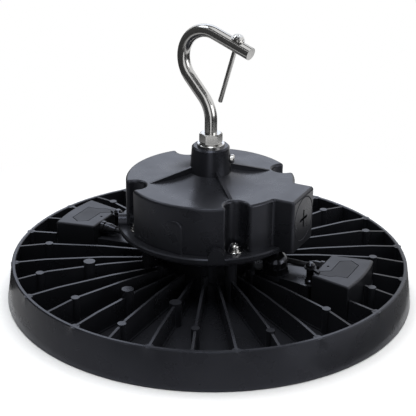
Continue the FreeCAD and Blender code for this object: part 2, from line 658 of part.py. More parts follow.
def make_cover_skin():
    """Outside of the driver cover: drum, flange, conduit box, sleeve, ribs, lugs and notches."""
    body = new_body("cover_skin")
    half = new_sketch(body, "drum_half", "XZ_Plane")
    draw(half, [
        ("0", FLANGE_FOOT),
        ("drum_radius", FLANGE_FOOT),
        ("drum_radius", "drum_top"),
        ("0", "drum_top")])
    revolve(body, half)
    conduit = new_sketch(body, "conduit_box", "XY_Plane", z=FLANGE_FOOT)
    draw(conduit, [
        ("cone_radius", "-conduit_half_width"),
        ("conduit_reach", "-conduit_half_width"),
        ("conduit_reach", "conduit_half_width"),
        ("cone_radius", "conduit_half_width")])
    pad(body, conduit, f"drum_top - {FLANGE_FOOT}")
    last = None
    for sketch in notch_sketches(body, "notch", "notch_radius", FLANGE_TOP):
        last = ring_of(body, pocket(body, sketch, f"drum_top - {FLANGE_TOP} + 1"), "4")
    DOC.recompute()
    floor = value(FLANGE_TOP)
    inner = value("notch_circle") * 0.99
    names = edges_where(last.Shape, lambda edge, at: upright(edge)
                        and at.z > floor and math.hypot(at.x, at.y) > inner)
    last = round_edges(body, last, names, "corner_edge")
    DOC.recompute()
    top = value("drum_top")
    names = edges_where(last.Shape, lambda edge, at: level(edge, top))
    round_edges(body, last, names, "drum_edge")
    # sleeve on its cone
    sleeve = new_sketch(body, "sleeve_half", "XZ_Plane")
    draw(sleeve, [
        ("0", "drum_top - drum_wall"),
        ("cone_radius", "drum_top - drum_wall"),
        ("cone_radius", "drum_top"),
        ("sleeve_foot_radius", "sleeve_foot", "-" + CONE_SWEEP),
        ("sleeve_radius", "sleeve_top - sleeve_chamfer"),
        ("sleeve_radius - sleeve_chamfer", "sleeve_top"),
        ("0", "sleeve_top")])
    revolve(body, sleeve)
    rib = new_sketch(body, "rib", "XZ_Plane", turn="notch_angle")
    draw(rib, [
        ("sleeve_radius - 3", "drum_top - drum_wall"),
        ("rib_reach", "drum_top - drum_wall"),
        ("rib_reach", "drum_top"),
        ("sleeve_radius - 3", "rib_start + 1")])
    ring_of(body, pad(body, rib, "rib_thickness", middle=True), "4")
    # flange, lugs and raised pad
    flange = new_sketch(body, "flange", "XZ_Plane")
    draw(flange, [
        ("drum_radius - 4", FLANGE_FOOT),
        ("flange_radius", FLANGE_FOOT),
        ("flange_radius", f"{FLANGE_TOP} - 1"),
        ("flange_radius - 1", FLANGE_TOP),
        ("drum_radius - 4", FLANGE_TOP)])
    revolve(body, flange)
    lug = new_sketch(body, "lug", "YZ_Plane", x="lug_inner * sin(lug_angle)",
                     z="lug_inner * cos(lug_angle)", turn="lug_angle")
    draw(lug, [
        ("-lug_radius", FLANGE_FOOT),
        ("lug_radius", FLANGE_FOOT),
        ("lug_radius", "lug_axis"),
        ("0", "lug_axis + lug_radius", "lug_radius"),
        ("-lug_radius", "lug_axis", "lug_radius")])
    ring_of(body, pad(body, lug, "lug_outer - lug_inner"), "4")
    raised = new_sketch(body, "raised_pad", "XY_Plane", z=FLANGE_FOOT, tilt="pad_angle")
    draw(raised, [
        ("drum_radius - 6", "-pad_left"), ("pad_face", "-pad_left"),
        ("pad_face", "pad_right"), ("drum_radius - 6", "pad_right")])
    swell = pad(body, raised, f"pad_top - {FLANGE_FOOT}")
    DOC.recompute()
    crown, face = value("pad_top"), value("pad_face")
    right, turn = value("pad_right"), math.radians(value("pad_angle"))
    names = edges_where(swell.Shape, lambda edge, at: level(edge, crown)
                        and abs(at.y * math.cos(turn) - at.x * math.sin(turn) - right) < 0.01)
    corner = round_edges(body, swell, names, "pad_corner")
    DOC.recompute()
    names = edges_where(corner.Shape, lambda edge, at: at.z > crown - value("pad_corner") - 0.1
                        and abs(at.x * math.cos(turn) + at.y * math.sin(turn) - face) < 0.01)
    round_edges(body, corner, names, "pad_edge")
    return body


def make_cover_room():
    """Room inside the driver cover, which leaves a wall round every notch."""
    body = new_body("cover_room")
    half = new_sketch(body, "room_half", "XZ_Plane")
    draw(half, [
        ("0", f"{FLANGE_FOOT} - 1"),
        ("drum_radius - drum_wall", f"{FLANGE_FOOT} - 1"),
        ("drum_radius - drum_wall", "drum_top - drum_wall"),
        ("0", "drum_top - drum_wall")])
    revolve(body, half)
    conduit = new_sketch(body, "conduit_room", "XY_Plane", z=f"{FLANGE_TOP}")
    draw(conduit, [
        ("cone_radius", "-conduit_half_width + drum_wall"),
        ("conduit_reach - drum_wall", "-conduit_half_width + drum_wall"),
        ("conduit_reach - drum_wall", "conduit_half_width - drum_wall"),
        ("cone_radius", "conduit_half_width - drum_wall")])
    pad(body, conduit, f"drum_top - drum_wall - {FLANGE_TOP}")
    for sketch in notch_sketches(body, "notch_wall", "notch_radius + notch_wall",
                                 f"{FLANGE_FOOT} - 2"):
        ring_of(body, pocket(body, sketch, f"drum_top - {FLANGE_FOOT} + 4"), "4")
    return body


def bore(name, radius, low, high):
    """Return an upright cylinder on the axis, for a hole."""
    drill = DOC.addObject("Part::Cylinder", name)
    bind(drill, Radius=radius, Height=f"({high}) - ({low})", Placement__Base__z=low)
    return drill


def side_bore(name, radius, length, x, y, z, angle):
    """Return a level cylinder that points outwards at an angle."""
    drill = DOC.addObject("Part::Cylinder", name)
    bind(drill, Radius=radius, Height=length, Placement__Base__x=x, Placement__Base__y=y,
         Placement__Base__z=z, Placement__Rotation__Axis__x=f"-sin({angle})",
         Placement__Rotation__Axis__y=f"cos({angle})", Placement__Rotation__Axis__z="0",
         Placement__Rotation__Angle="90deg")
    return drill


def cut(name, base, tools):
    """Subtract tools from a base and give the result its own label."""
    if len(tools) > 1:
        tool = DOC.addObject("Part::MultiFuse", name + "_tools")
        tool.Shapes = tools
    else:
        tool = tools[0]
    result = DOC.addObject("Part::Cut", name)
    result.Base = base
    result.Tool = tool
    return result


def make_driver_cover():
    """Hollow die-cast cover with its hook bore, lock screw hole, screw holes and plug seat."""
    tools = [make_cover_room(),
             bore("hook_bore", "rod_radius + slip", "drum_top - drum_wall - 1", "sleeve_top + 1"),
             side_bore("plug_seat", "plug_radius + plug_gap", "plug_depth + 2",
                       "conduit_reach - plug_depth - slip", "0", "plug_height", "0")]
    x, y = polar("rod_radius - 1", "lock_angle")
    tools.append(side_bore("lock_hole", "lock_radius + slip", "sleeve_foot_radius", x, y,
                           "lock_height", "lock_angle"))
    for index in range(4):
        x, y = polar("screw_circle", f"(notch_angle + 90 * {index})")
        drill = bore(f"cover_hole_{index}", "screw_radius + 2 * slip", f"({FLANGE_FOOT} - 1)",
                     f"({FLANGE_TOP} + 1)")
        bind(drill, Placement__Base__x=x, Placement__Base__y=y)
        tools.append(drill)
    return cut("driver_cover", make_cover_skin(), tools)


def make_cover_gasket():
    """Flat rubber ring between the base and the cover."""
    return turned("cover_gasket", tube("drum_radius - drum_wall + 0.8", "base_radius",
                                       BASE_TOP, FLANGE_FOOT))


def make_cover_fasteners():
    """Four pan-head screws with spring washers and flat washers, in the cover's notches."""
    x, y = polar("screw_circle", "notch_angle")
    spring_foot = f"({FLANGE_TOP} + flat_washer_height)"
    head_foot = f"({spring_foot} + spring_washer_height)"
    head_top = f"({head_foot} + screw_head_height)"
    turned("cover_washers", tube("screw_radius + 2 * slip", "flat_washer_radius",
                                 FLANGE_TOP, spring_foot), x, y, "4")
    turned("cover_spring_washers", tube("screw_radius + 2 * slip", "spring_washer_radius",
                                        spring_foot, head_foot), x, y, "4")
    turned("cover_screws", [
        ("0", "hub_top + 0.6"),
        ("screw_radius", "hub_top + 0.6"),
        ("screw_radius", head_foot),
        ("screw_head_radius", head_foot),
        ("screw_head_radius", f"{head_top} - screw_head_height / 3"),
        ("screw_head_radius * 0.7", head_top),
        ("screw_head_radius * 0.4", head_top),
        ("0", f"{head_top} - 1.6")], x, y, "4")
    x, y = polar("post_circle", "notch_angle")
    turned("base_screws", [
        ("0", "hub_top - 12"),
        ("screw_radius", "hub_top - 12"),
        ("screw_radius", TRAY_TOP),
        ("screw_head_radius", TRAY_TOP),
        ("screw_head_radius", f"{TRAY_TOP} + 1.8"),
        ("screw_head_radius * 0.6", f"{TRAY_TOP} + 2.6"),
        ("0", f"{TRAY_TOP} + 2.6")], x, y, "4")


def make_conduit_plug():
    """Screw-in round plug with a cross slot, and the sealing ring behind its head."""
    body = new_body("conduit_plug")
    disc = new_sketch(body, "plug_disc", "XZ_Plane", x="conduit_reach - plug_depth",
                      y="plug_height", tilt="-90")
    revolve(body, draw(disc, [
        ("0", "0"), ("plug_radius + plug_gap - slip", "0"),
        ("plug_radius + plug_gap - slip", "plug_depth / 2"), ("plug_radius", "plug_depth / 2"),
        ("plug_radius", "plug_depth - plug_edge"), ("plug_radius - plug_edge", "plug_depth"),
        ("0", "plug_depth")]))
    for name, wide, tall in (("slot_upright", "plug_slot_width", "plug_slot_length"),
                             ("slot_level", "plug_slot_length", "plug_slot_width")):
        slot = new_sketch(body, name, "YZ_Plane", y="plug_height", z="conduit_reach")
        draw(slot, [(f"-{wide} / 2", f"-{tall} / 2"), (f"{wide} / 2", f"-{tall} / 2"),
                    (f"{wide} / 2", f"{tall} / 2"), (f"-{wide} / 2", f"{tall} / 2")])
        pocket(body, slot, "plug_slot_depth", back=False)
    seal = new_body("plug_seal")
    ring = new_sketch(seal, "seal_face", "YZ_Plane", y="plug_height",
                      z="conduit_reach - plug_depth - 1.5")
    draw_circle(ring, "plug_radius - 1")
    draw_circle(ring, "plug_radius - 4")
    pad(seal, ring, "1.5")


# ---------------------------------------------------------------- hook

def hook_path():
    """Return the corners of the hook's centre line, from its foot to its tip."""
    bend_x = "(-hook_bend_radius * (1 - cos(hook_bend_angle)))"
    bend_z = "(hook_bend_start + hook_bend_radius * sin(hook_bend_angle))"
    eye_x = "(eye_offset - eye_radius * cos(hook_bend_angle))"
    eye_z = f"({bend_z} + ({bend_x} - {eye_x}) * tan(hook_bend_angle))"
    centre_z = f"({eye_z} + eye_radius * sin(hook_bend_angle))"
    arm_z = f"({centre_z} + eye_radius * cos(arm_slope))"
    path = [("0", "shank_foot"), ("0", "hook_bend_start"),
            (bend_x, bend_z, "hook_bend_radius"), (eye_x, eye_z),
            (ARM_X, arm_z, "-eye_radius"),
            (f"{ARM_X} + arm_length * cos(arm_slope)", f"{arm_z} - arm_length * sin(arm_slope)")]
    return path, arm_z


def make_hook():
    """Bent stainless rod with a cross hole near its tip, and the safety pin and its washer."""
    path, arm_z = hook_path()
    body = new_body("hook_rod")
    line = draw(new_sketch(body, "hook_line", "XZ_Plane"), path, closed=False)
    end = new_sketch(body, "rod_section", "XY_Plane", z="shank_foot")
    draw_circle(end, "rod_radius")
    rod = body.newObject("PartDesign::AdditivePipe", "rod_sweep")
    rod.Profile = end
    rod.Spine = (line, [])
    body.Tip = rod
    pin_x = f"({ARM_X} + pin_at * cos(arm_slope))"
    pin_z = f"({arm_z} - pin_at * sin(arm_slope))"
    drill = DOC.addObject("Part::Cylinder", "pin_hole")
    bind(drill, Radius="pin_radius + slip", Height="4 * rod_radius",
         Placement__Base__x=f"{pin_x} - 2 * rod_radius * sin(arm_slope)",
         Placement__Base__z=f"{pin_z} - 2 * rod_radius * cos(arm_slope)",
         Placement__Rotation__Axis__x="0", Placement__Rotation__Axis__y="1",
         Placement__Rotation__Axis__z="0", Placement__Rotation__Angle="arm_slope * 1deg")
    stand(cut("hook", body, [drill]), "hook_turn")
    head_foot = "(rod_radius + pin_washer_height)"
    for name, corners in (
        ("safety_pin", [
            ("0", "-pin_length"), ("pin_radius - 0.3", "-pin_length"),
            ("pin_radius", "-pin_length + 0.5"), ("pin_radius", head_foot),
            ("pin_head_radius", head_foot),
            ("pin_head_radius", f"{head_foot} + pin_head_height / 2"),
            ("pin_head_radius * 0.7", f"{head_foot} + pin_head_height"),
            ("1.4", f"{head_foot} + pin_head_height"),
            ("0", f"{head_foot} + pin_head_height - 1.4")]),
        ("safety_pin_washer", tube("pin_radius + slip", "pin_washer_radius",
                                   "rod_radius", head_foot)),
    ):
        piece = new_body(name)
        half = new_sketch(piece, name + "_half", "XZ_Plane", x=pin_x, y=pin_z, tilt="-arm_slope")
        revolve(piece, draw(half, corners))
        stand(piece, "hook_turn")


def hexagon(sketch, flats, x="0", y="0", first="30"):
    """Draw a hexagon given by its width across the flats."""
    corners = []
    for step in range(6):
        angle = f"({first} + 60 * {step})"
        corners.append((f"{x} + ({flats}) / 2 / cos(30) * cos{angle}",
                        f"{y} + ({flats}) / 2 / cos(30) * sin{angle}"))
    return draw(sketch, corners)


def make_hook_fittings():
    """Washer and lock nut on the sleeve, and the screw that locks the hook in it."""
    washer_top = "(sleeve_top + hook_washer_height)"
    nut_top = f"({washer_top} + nut_height)"
    turned("hook_washer", [
        ("rod_radius + 2 * slip", "sleeve_top"), ("hook_washer_radius", "sleeve_top"),
        ("hook_washer_radius", f"{washer_top} - 0.4"), ("hook_washer_radius - 0.4", washer_top),
        ("rod_radius + 2 * slip", washer_top)])
    body = new_body("hook_nut")
    flats = new_sketch(body, "nut_flats_outline", "XY_Plane", z=washer_top)
    pad(body, hexagon(flats, "nut_flats"), "nut_height")
    for name, edge, way in (("nut_top_bevel", nut_top, "-1"), ("nut_foot_bevel", washer_top, "1")):
        bevel = new_sketch(body, name, "XZ_Plane")
        draw(bevel, [("nut_flats / 2 - 0.3", edge), ("nut_flats * 0.7", edge),
                     ("nut_flats * 0.7", f"{edge} + {way} * nut_flats * 0.12")])
        revolve(body, bevel, cut=True)
    hole = new_sketch(body, "nut_bore", "XY_Plane", z=washer_top)
    pocket(body, draw_circle(hole, "rod_radius + slip"), "nut_height")
    lock = new_body("lock_screw")
    half = new_sketch(lock, "lock_half", "XZ_Plane", x="rod_radius + slip", y="lock_height", tilt="-90")
    seat = f"({LOCK_SEAT} - rod_radius)"
    revolve(lock, draw(half, [
        ("0", "0"), ("lock_radius - 0.4", "0"), ("lock_radius", "0.5"), ("lock_radius", seat),
        ("lock_head_radius", seat), ("lock_head_radius", f"{seat} + lock_head_height * 0.6"),
        ("lock_head_radius * 0.7", f"{seat} + lock_head_height"),
        ("1.2", f"{seat} + lock_head_height"), ("0", f"{seat} + lock_head_height - 1.2")]))
    stand(lock, "lock_angle")


# ---------------------------------------------------------------- control boxes

def port_outline(grow):
    """Return the outline of a port cover with its strap; grow widens it into its recess."""
    side = f"(port_half_width + {grow})"
    strap_in = f"(box_inner + 1.2 - {grow})"
    strap_low = f"(tether_side - {grow})"
    strap_high = f"(tether_side + tether_width + {grow})"
    return [
        (f"port_inner - {grow}", side), (f"port_inner - {grow}", f"{strap_high} + 6"),
        (strap_in, strap_high), (strap_in, strap_low),
        (f"port_inner + 3", f"{strap_low} + 0.4"),
        (f"port_nose_at + {grow}", f"-{side}"),
        (f"port_outer + {grow}", f"-{side} + 0.6"),
        (f"port_outer + {grow}", side),
        (f"port_nose_at + {grow}", f"port_nose + {grow}")]


def make_control_box(name, angle):
    """Moulded control box: a hollow fan-shaped shell that stands on the heatsink's floor."""
    body = new_body(name + "_box")
    plan = new_sketch(body, name + "_box_plan", "XY_Plane", z="floor_top")
    edge_y = "(box_inner * tan(box_half_angle))"
    draw(plan, [
        ("box_inner", f"-{edge_y}"),
        ("box_outer * cos(box_half_angle)", "-box_outer * sin(box_half_angle)"),
        ("box_outer * cos(box_half_angle)", "box_outer * sin(box_half_angle)", "box_outer"),
        ("box_inner", edge_y)])
    shell = pad(body, plan, "box_top - floor_top")
    DOC.recompute()
    top = value("box_top")
    names = edges_where(shell.Shape, lambda edge, at: level(edge, top) or upright(edge))
    round_edges(body, shell, names, "box_edge")
    room = new_sketch(body, name + "_box_room", "XY_Plane", z="floor_top")
    room_y = f"({edge_y} - box_wall)"
    draw(room, [
        ("box_inner + box_wall", f"-{room_y}"),
        ("(box_outer - box_wall) * cos(box_half_angle)",
         "-(box_outer - box_wall) * sin(box_half_angle) + box_wall"),
        ("(box_outer - box_wall) * cos(box_half_angle)",
         "(box_outer - box_wall) * sin(box_half_angle) - box_wall", "box_outer - box_wall"),
        ("box_inner + box_wall", room_y)])
    pocket(body, room, "box_top - floor_top - box_wall - port_depth")
    recess = new_sketch(body, name + "_recess", "XY_Plane", z="box_top")
    pocket(body, draw(recess, port_outline("port_gap")), "port_depth", back=False)
    hole = new_sketch(body, name + "_sense_hole", "XY_Plane", z="box_top")
    pocket(body, draw_circle(hole, "sense_hole", "sense_hole_at"), "port_depth", back=False)
    entry = new_sketch(body, name + "_lead_entry", "YZ_Plane", z="box_inner - 1")
    draw_circle(entry, "lead_radius + slip", "lead_side", "lead_height")
    pocket(body, entry, "box_wall + 2")
    stand(body, angle)


def make_port_cover(name, angle):
    """Soft port cover with the strap that ties it to its anchor on the inner wall."""
    body = new_body(name + "_port_cover")
    plan = new_sketch(body, name + "_cover_plan", "XY_Plane", z="box_top - port_depth")
    pad(body, draw(plan, port_outline("0")), "port_depth")
    tongue = new_sketch(body, name + "_strap", "XY_Plane", z="box_top")
    draw(tongue, [
        ("box_inner + 4", "tether_side"), ("box_inner + 4", "tether_side + tether_width"),
        ("anchor_at", "anchor_side + tether_width / 2"), ("anchor_at", "anchor_side - tether_width / 2")])
    pad(body, tongue, "strap_height")
    loop = new_sketch(body, name + "_strap_loop", "XY_Plane", z="box_top")
    draw_circle(loop, "anchor_radius + tether_width / 2", "anchor_at", "anchor_side")
    pad(body, loop, "strap_height")
    eye = new_sketch(body, name + "_strap_eye", "XY_Plane", z="box_top")
    pocket(body, draw_circle(eye, "anchor_radius + slip", "anchor_at", "anchor_side"), "strap_height")
    stand(body, angle)
    post = new_body(name + "_tether_anchor")
    half = new_sketch(post, name + "_anchor_half", "XZ_Plane", x="anchor_at", z="-anchor_side")
    revolve(post, draw(half, [
        ("0", "bridge_top + 0.2"), ("anchor_radius + 1", "bridge_top + 0.2"),
        ("anchor_radius + 1", "bridge_top + 2.2"), ("anchor_radius", "bridge_top + 3"),
        ("anchor_radius", "box_top + strap_height + slip"),
        ("anchor_radius + 0.6", "box_top + strap_height + slip"),
        ("anchor_radius + 0.6", "box_top + anchor_rise - 1.6"),
        ("anchor_radius - 1", "box_top + anchor_rise"), ("0", "box_top + anchor_rise")]))
    stand(post, angle)


def level_turned(name, corners, start, side, height, angle):
    """Make a body turned about a level axis that points inwards from a box."""
    body = new_body(name)
    half = new_sketch(body, name + "_half", "XZ_Plane", x=start, y=height, z=f"-({side})", tilt="90")
    revolve(body, draw(half, corners))
    stand(body, angle)
    return body


def make_control_lead(name, angle):
    """Gland on the box, the lead that runs to the hub and the grommet in the hub wall."""
    hole = "lead_radius + slip"
    level_turned(name + "_gland", [
        (hole, "0.1"), ("gland_radius", "0.1"), ("gland_radius", "3"),
        ("gland_radius - 0.9", "3.6"), ("gland_radius - 0.9", "gland_length - 5"),
        ("lead_radius + 1.2", "gland_length"), (hole, "gland_length")],
        "box_inner", "lead_side", "lead_height", angle)
    level_turned(name + "_lead", [
        ("0", "-4"), ("lead_radius", "-4"),
        ("lead_radius", "box_inner - hub_bore + 2"), ("0", "box_inner - hub_bore + 2")],
        "box_inner", "lead_side", "lead_height", angle)
    level_turned(name + "_grommet", [
        (hole, "-2"), ("grommet_radius + 1.4", "-2"), ("grommet_radius + 1.4", "-0.2"),
        ("grommet_radius", "-0.2"), ("grommet_radius", "hub_radius - hub_bore + 3"),
        (hole, "hub_radius - hub_bore + 3")],
        "hub_radius", "lead_side", "lead_height", angle)


def make_control_board(name, angle):
    """Small circuit board with a socket block, on the floor inside a control box."""
    body = new_body(name + "_control_board")
    plan = new_sketch(body, name + "_board_plan", "XY_Plane", z="floor_top + 0.2")
    draw(plan, [("box_inner + 6", "-12"), ("box_outer - 6", "-12"),
                ("box_outer - 6", "12"), ("box_inner + 6", "12")])
    pad(body, plan, "1.6")
    block = new_sketch(body, name + "_socket", "XY_Plane", z="floor_top + 1.5")
    draw(block, [("box_inner + 12", "-7"), ("box_outer - 10", "-7"),
                 ("box_outer - 10", "7"), ("box_inner + 12", "7")])
    pad(body, block, "14")
    stand(body, angle)


def make_output_gland():
    """Upright gland on the bridge plate and the cable that drops from the driver into it."""
    body = new_body("output_gland")
    plan = new_sketch(body, "gland_hexagon", "XY_Plane", z=GLAND_FOOT)
    hexagon(plan, "dome_radius * 2 * cos(30)", "dome_at", "dome_side", "0")
    pad(body, plan, "dome_nut_height")
    dome = new_sketch(body, "gland_dome", "XZ_Plane", x="dome_at", z="-dome_side")
    neck = f"({GLAND_FOOT} + dome_nut_height)"
    crown = f"({GLAND_FOOT} + dome_height)"
    revolve(body, draw(dome, [
        ("0", f"{neck} - 1"), ("dome_radius - 2", f"{neck} - 1"), ("dome_radius - 2", f"{neck} + 1"),
        ("dome_radius - 0.8", f"{neck} + 1.4"), ("dome_radius - 0.8", f"{crown} - 6"),
        ("dome_radius - 6", crown, "9"), ("0", crown)]))
    hole = new_sketch(body, "gland_bore", "XY_Plane", z=GLAND_FOOT)
    pocket(body, draw_circle(hole, "cable_radius + slip", "dome_at", "dome_side"), "dome_height")
    turned("output_cable", [
        ("0", "floor_top + fin_root_height * 2 + 0.3"),
        ("cable_radius", "floor_top + fin_root_height * 2 + 0.3"),
        ("cable_radius", f"{BASE_TOP} + 3"), ("0", f"{BASE_TOP} + 3")], "dome_at", "dome_side")


# ---------------------------------------------------------------- light engine

def make_light_engine():
    """LED board, LEDs, lens plate, gasket, ring and screws under the floor."""
    board_foot = f"({FLOOR_BOTTOM} - board_height)"
    turned("led_board", tube("board_bore", "board_radius", board_foot, FLOOR_BOTTOM))
    rings = (("one", "ring_one", "count_one"), ("two", "ring_two", "count_two"),
             ("three", "ring_three", "count_three"))
    chips = new_body("leds")
    for word, circle, count in rings:
        square = new_sketch(chips, f"chip_{word}", "XY_Plane", z=CHIP_FOOT)
        draw(square, [(f"{circle} - chip_side / 2", "-chip_side / 2"),
                      (f"{circle} + chip_side / 2", "-chip_side / 2"),
                      (f"{circle} + chip_side / 2", "chip_side / 2"),
                      (f"{circle} - chip_side / 2", "chip_side / 2")])
        ring_of(chips, pad(chips, square, "chip_height"), count)
    lens = new_body("lens_plate")
    half = new_sketch(lens, "lens_half", "XZ_Plane")
    flange_foot = f"({LENS_FLANGE_TOP} - lens_sheet)"
    field_foot = f"({FIELD_TOP} - lens_sheet)"
    draw(half, [
        ("0", field_foot), ("lens_field_radius - lens_sheet", field_foot),
        ("lens_field_radius", flange_foot),
        ("lens_plate_radius", flange_foot), ("lens_plate_radius", LENS_FLANGE_TOP),
        ("lens_field_radius + 0.6", LENS_FLANGE_TOP), ("lens_field_radius - 1.4", FIELD_TOP),
        ("0", FIELD_TOP)])
    revolve(lens, half)
    for word, circle, count in rings:
        cap = new_sketch(lens, f"lens_{word}", "XZ_Plane", x=circle)
        draw(cap, [("0", f"{field_foot} + 0.5"), ("0", f"{field_foot} - lens_rise"),
                   ("lens_radius", field_foot,
                    "(lens_radius * lens_radius + lens_rise * lens_rise) / (2 * lens_rise)"),
                   ("lens_radius", f"{field_foot} + 0.5")])
        ring_of(lens, revolve(lens, cap), count)
    turned("lens_gasket", tube("seal_inner", "seal_outer", LENS_FLANGE_TOP, SEAL_TOP))
    ring = new_body("lens_ring")
    half = new_sketch(ring, "ring_half", "XZ_Plane")
    ring_foot = "(ring_seat - ring_height)"
    draw(half, [
        ("ring_inner", f"{ring_foot}"), ("ring_outer", ring_foot), ("ring_outer", "ring_seat"),
        ("lens_plate_radius + 0.4", "ring_seat"), ("lens_plate_radius + 0.4", f"{flange_foot} - slip"),
        ("ring_inner", f"{flange_foot} - slip")])
    revolve(ring, half)
    x, y = polar("ring_screw_circle", "fin_pitch")
    hole = new_sketch(ring, "ring_screw_hole", "XY_Plane", z=ring_foot)
    drill = pocket(ring, draw_circle(hole, "ring_screw_radius + slip", x, y), "ring_height")
    ring_of(ring, drill, "ring_screw_count")
    turned("ring_screws", [
        ("0", f"{ring_foot} - ring_screw_head_height"),
        ("ring_screw_head", f"{ring_foot} - ring_screw_head_height"),
        ("ring_screw_head", ring_foot), ("ring_screw_radius", ring_foot),
        ("ring_screw_radius", f"{ring_foot} + ring_screw_length"),
        ("0", f"{ring_foot} + ring_screw_length")], x, y, "ring_screw_count")


# ---------------------------------------------------------------- driver electronics

def make_electronics():
    """Driver board with its transformer, capacitors, choke and terminal block."""
    board = new_body("driver_board")
    plan = new_sketch(board, "driver_board_plan", "XY_Plane", z=BOARD_FOOT)
    pad(board, draw_circle(plan, "driver_board_radius"), "driver_board_height")
    x, y = polar("standoff_circle", "0")
    hole = new_sketch(board, "board_screw_hole", "XY_Plane", z=BOARD_FOOT)
    ring_of(board, pocket(board, draw_circle(hole, "1.6", x, y), "driver_board_height"), "4")
    core = DOC.addObject("Part::Box", "transformer_core")
    bind(core, Length="30", Width="26", Height="winding_height / 2",
         Placement__Base__x="-34", Placement__Base__y="-13", Placement__Base__z=BOARD_TOP)
    winding = DOC.addObject("Part::Cylinder", "transformer_winding")
    bind(winding, Radius="10.5", Height="winding_height", Placement__Base__x="-19",
         Placement__Base__y="0", Placement__Base__z=f"{BOARD_TOP} + winding_height / 2")
    cans = new_body("capacitors")
    half = new_sketch(cans, "can_half", "XZ_Plane", x="10", z="-22")
    can = revolve(cans, draw(half, [
        ("0", BOARD_TOP), ("capacitor_radius", BOARD_TOP),
        ("capacitor_radius", f"{BOARD_TOP} + capacitor_height - 1"),
        ("capacitor_radius - 1", f"{BOARD_TOP} + capacitor_height"),
        ("0", f"{BOARD_TOP} + capacitor_height")]))
    ring_of(cans, can, "2")
    turned("choke", [
        ("choke_radius / 2", BOARD_TOP), ("choke_radius", BOARD_TOP),
        ("choke_radius", f"{BOARD_TOP} + choke_height"),
        ("choke_radius / 2", f"{BOARD_TOP} + choke_height")], "16", "-22")
    terminal = DOC.addObject("Part::Box", "terminal_block")
    bind(terminal, Length="10", Width="24", Height="12", Placement__Base__x="30",
         Placement__Base__y="-12", Placement__Base__z=BOARD_TOP)


# ---------------------------------------------------------------- build, check, export

SUB_PARTS = [
    "heatsink", "driver_base", "driver_cover", "cover_gasket", "cover_washers",
    "cover_spring_washers", "cover_screws", "base_screws", "conduit_plug", "plug_seal",
    "hook", "safety_pin", "safety_pin_washer", "hook_washer", "hook_nut", "lock_screw",
    "output_gland", "output_cable", "led_board", "leds", "lens_plate", "lens_gasket",
    "lens_ring", "ring_screws", "driver_board", "transformer_core", "transformer_winding",
    "capacitors", "choke", "terminal_block",
]


def make_all():
    """Build every sub-part in the document."""
    make_heatsink()
    make_driver_base()
    make_driver_cover()
    make_cover_gasket()
    make_cover_fasteners()
    make_conduit_plug()
    make_hook()
    make_hook_fittings()
    make_output_gland()
    make_light_engine()
    make_electronics()
    for name, angle in (("right", "0"), ("left", "180")):
        make_control_box(name, angle)
        make_port_cover(name, angle)
        make_control_lead(name, angle)
        make_control_board(name, angle)
        SUB_PARTS.extend(f"{name}_{piece}" for piece in (
            "box", "port_cover", "tether_anchor", "gland", "lead", "grommet", "control_board"))
    DOC.recompute()


def check_and_export():
    """Refuse a failed object or a bad shape, then write one STEP file for each sub-part."""
    for thing in DOC.Objects:
        if any(state in ("Invalid", "Error") for state in thing.State):
            raise RuntimeError(f"{thing.Name} did not build: {thing.State}")
    os.makedirs("parts", exist_ok=True)
    for name in SUB_PARTS:
        shape = DOC.getObject(name).Shape
        if shape.isNull() or not shape.isValid() or not shape.Solids:
            raise RuntimeError(f"{name} has no valid solid")
        print(f"{name}: {len(shape.Solids)} solid(s), {shape.Volume / 1000:.2f} cm3")
    for name in SUB_PARTS:
        DOC.getObject(name).Shape.exportStep(f"parts/{name}.step")


make_all()
check_and_export()
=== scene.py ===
"""Dresses the high bay light: finishes, fasteners with real recesses, trim and a studio.

Everything is in metres in the row frame: origin on the disc's axis where the rim stands, +Z up.
"""
import json
import logging
import math
from contextlib import contextmanager
from dataclasses import dataclass
from enum import Enum
from typing import Iterator, Sequence

import bmesh
import bpy
import numpy as np
from mathutils import Matrix, Vector


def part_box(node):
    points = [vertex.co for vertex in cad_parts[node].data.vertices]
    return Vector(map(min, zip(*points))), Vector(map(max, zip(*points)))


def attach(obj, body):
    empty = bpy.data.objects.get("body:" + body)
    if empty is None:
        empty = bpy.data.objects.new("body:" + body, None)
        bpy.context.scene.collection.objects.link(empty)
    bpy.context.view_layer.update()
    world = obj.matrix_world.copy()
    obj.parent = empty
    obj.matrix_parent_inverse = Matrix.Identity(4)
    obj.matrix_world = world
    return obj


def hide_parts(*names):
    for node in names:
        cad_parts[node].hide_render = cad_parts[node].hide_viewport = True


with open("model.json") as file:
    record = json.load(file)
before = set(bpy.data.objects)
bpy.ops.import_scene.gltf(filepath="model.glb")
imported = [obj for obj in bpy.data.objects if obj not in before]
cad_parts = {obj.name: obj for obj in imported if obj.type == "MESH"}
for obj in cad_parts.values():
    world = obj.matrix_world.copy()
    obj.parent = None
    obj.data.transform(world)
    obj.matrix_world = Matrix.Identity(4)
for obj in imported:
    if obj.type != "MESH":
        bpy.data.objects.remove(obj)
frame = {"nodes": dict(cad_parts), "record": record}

LOG = logging.getLogger("high_bay")
ROOT = "root"
MM = 0.001
UP = np.array([0.0, 0.0, 1.0])
MERGE = 1e-6  # metres: points closer than this are one
SLIVER = 1e-7  # metres: an edge shorter than this is taken out
SMOOTH_ANGLE = 40.0  # degrees: an edge sharper than this stays sharp
PATTERN_RANGE = (0.3, 0.7)  # the middle of a noise pattern, where most of it lies


# ---------------------------------------------------------------- surfaces

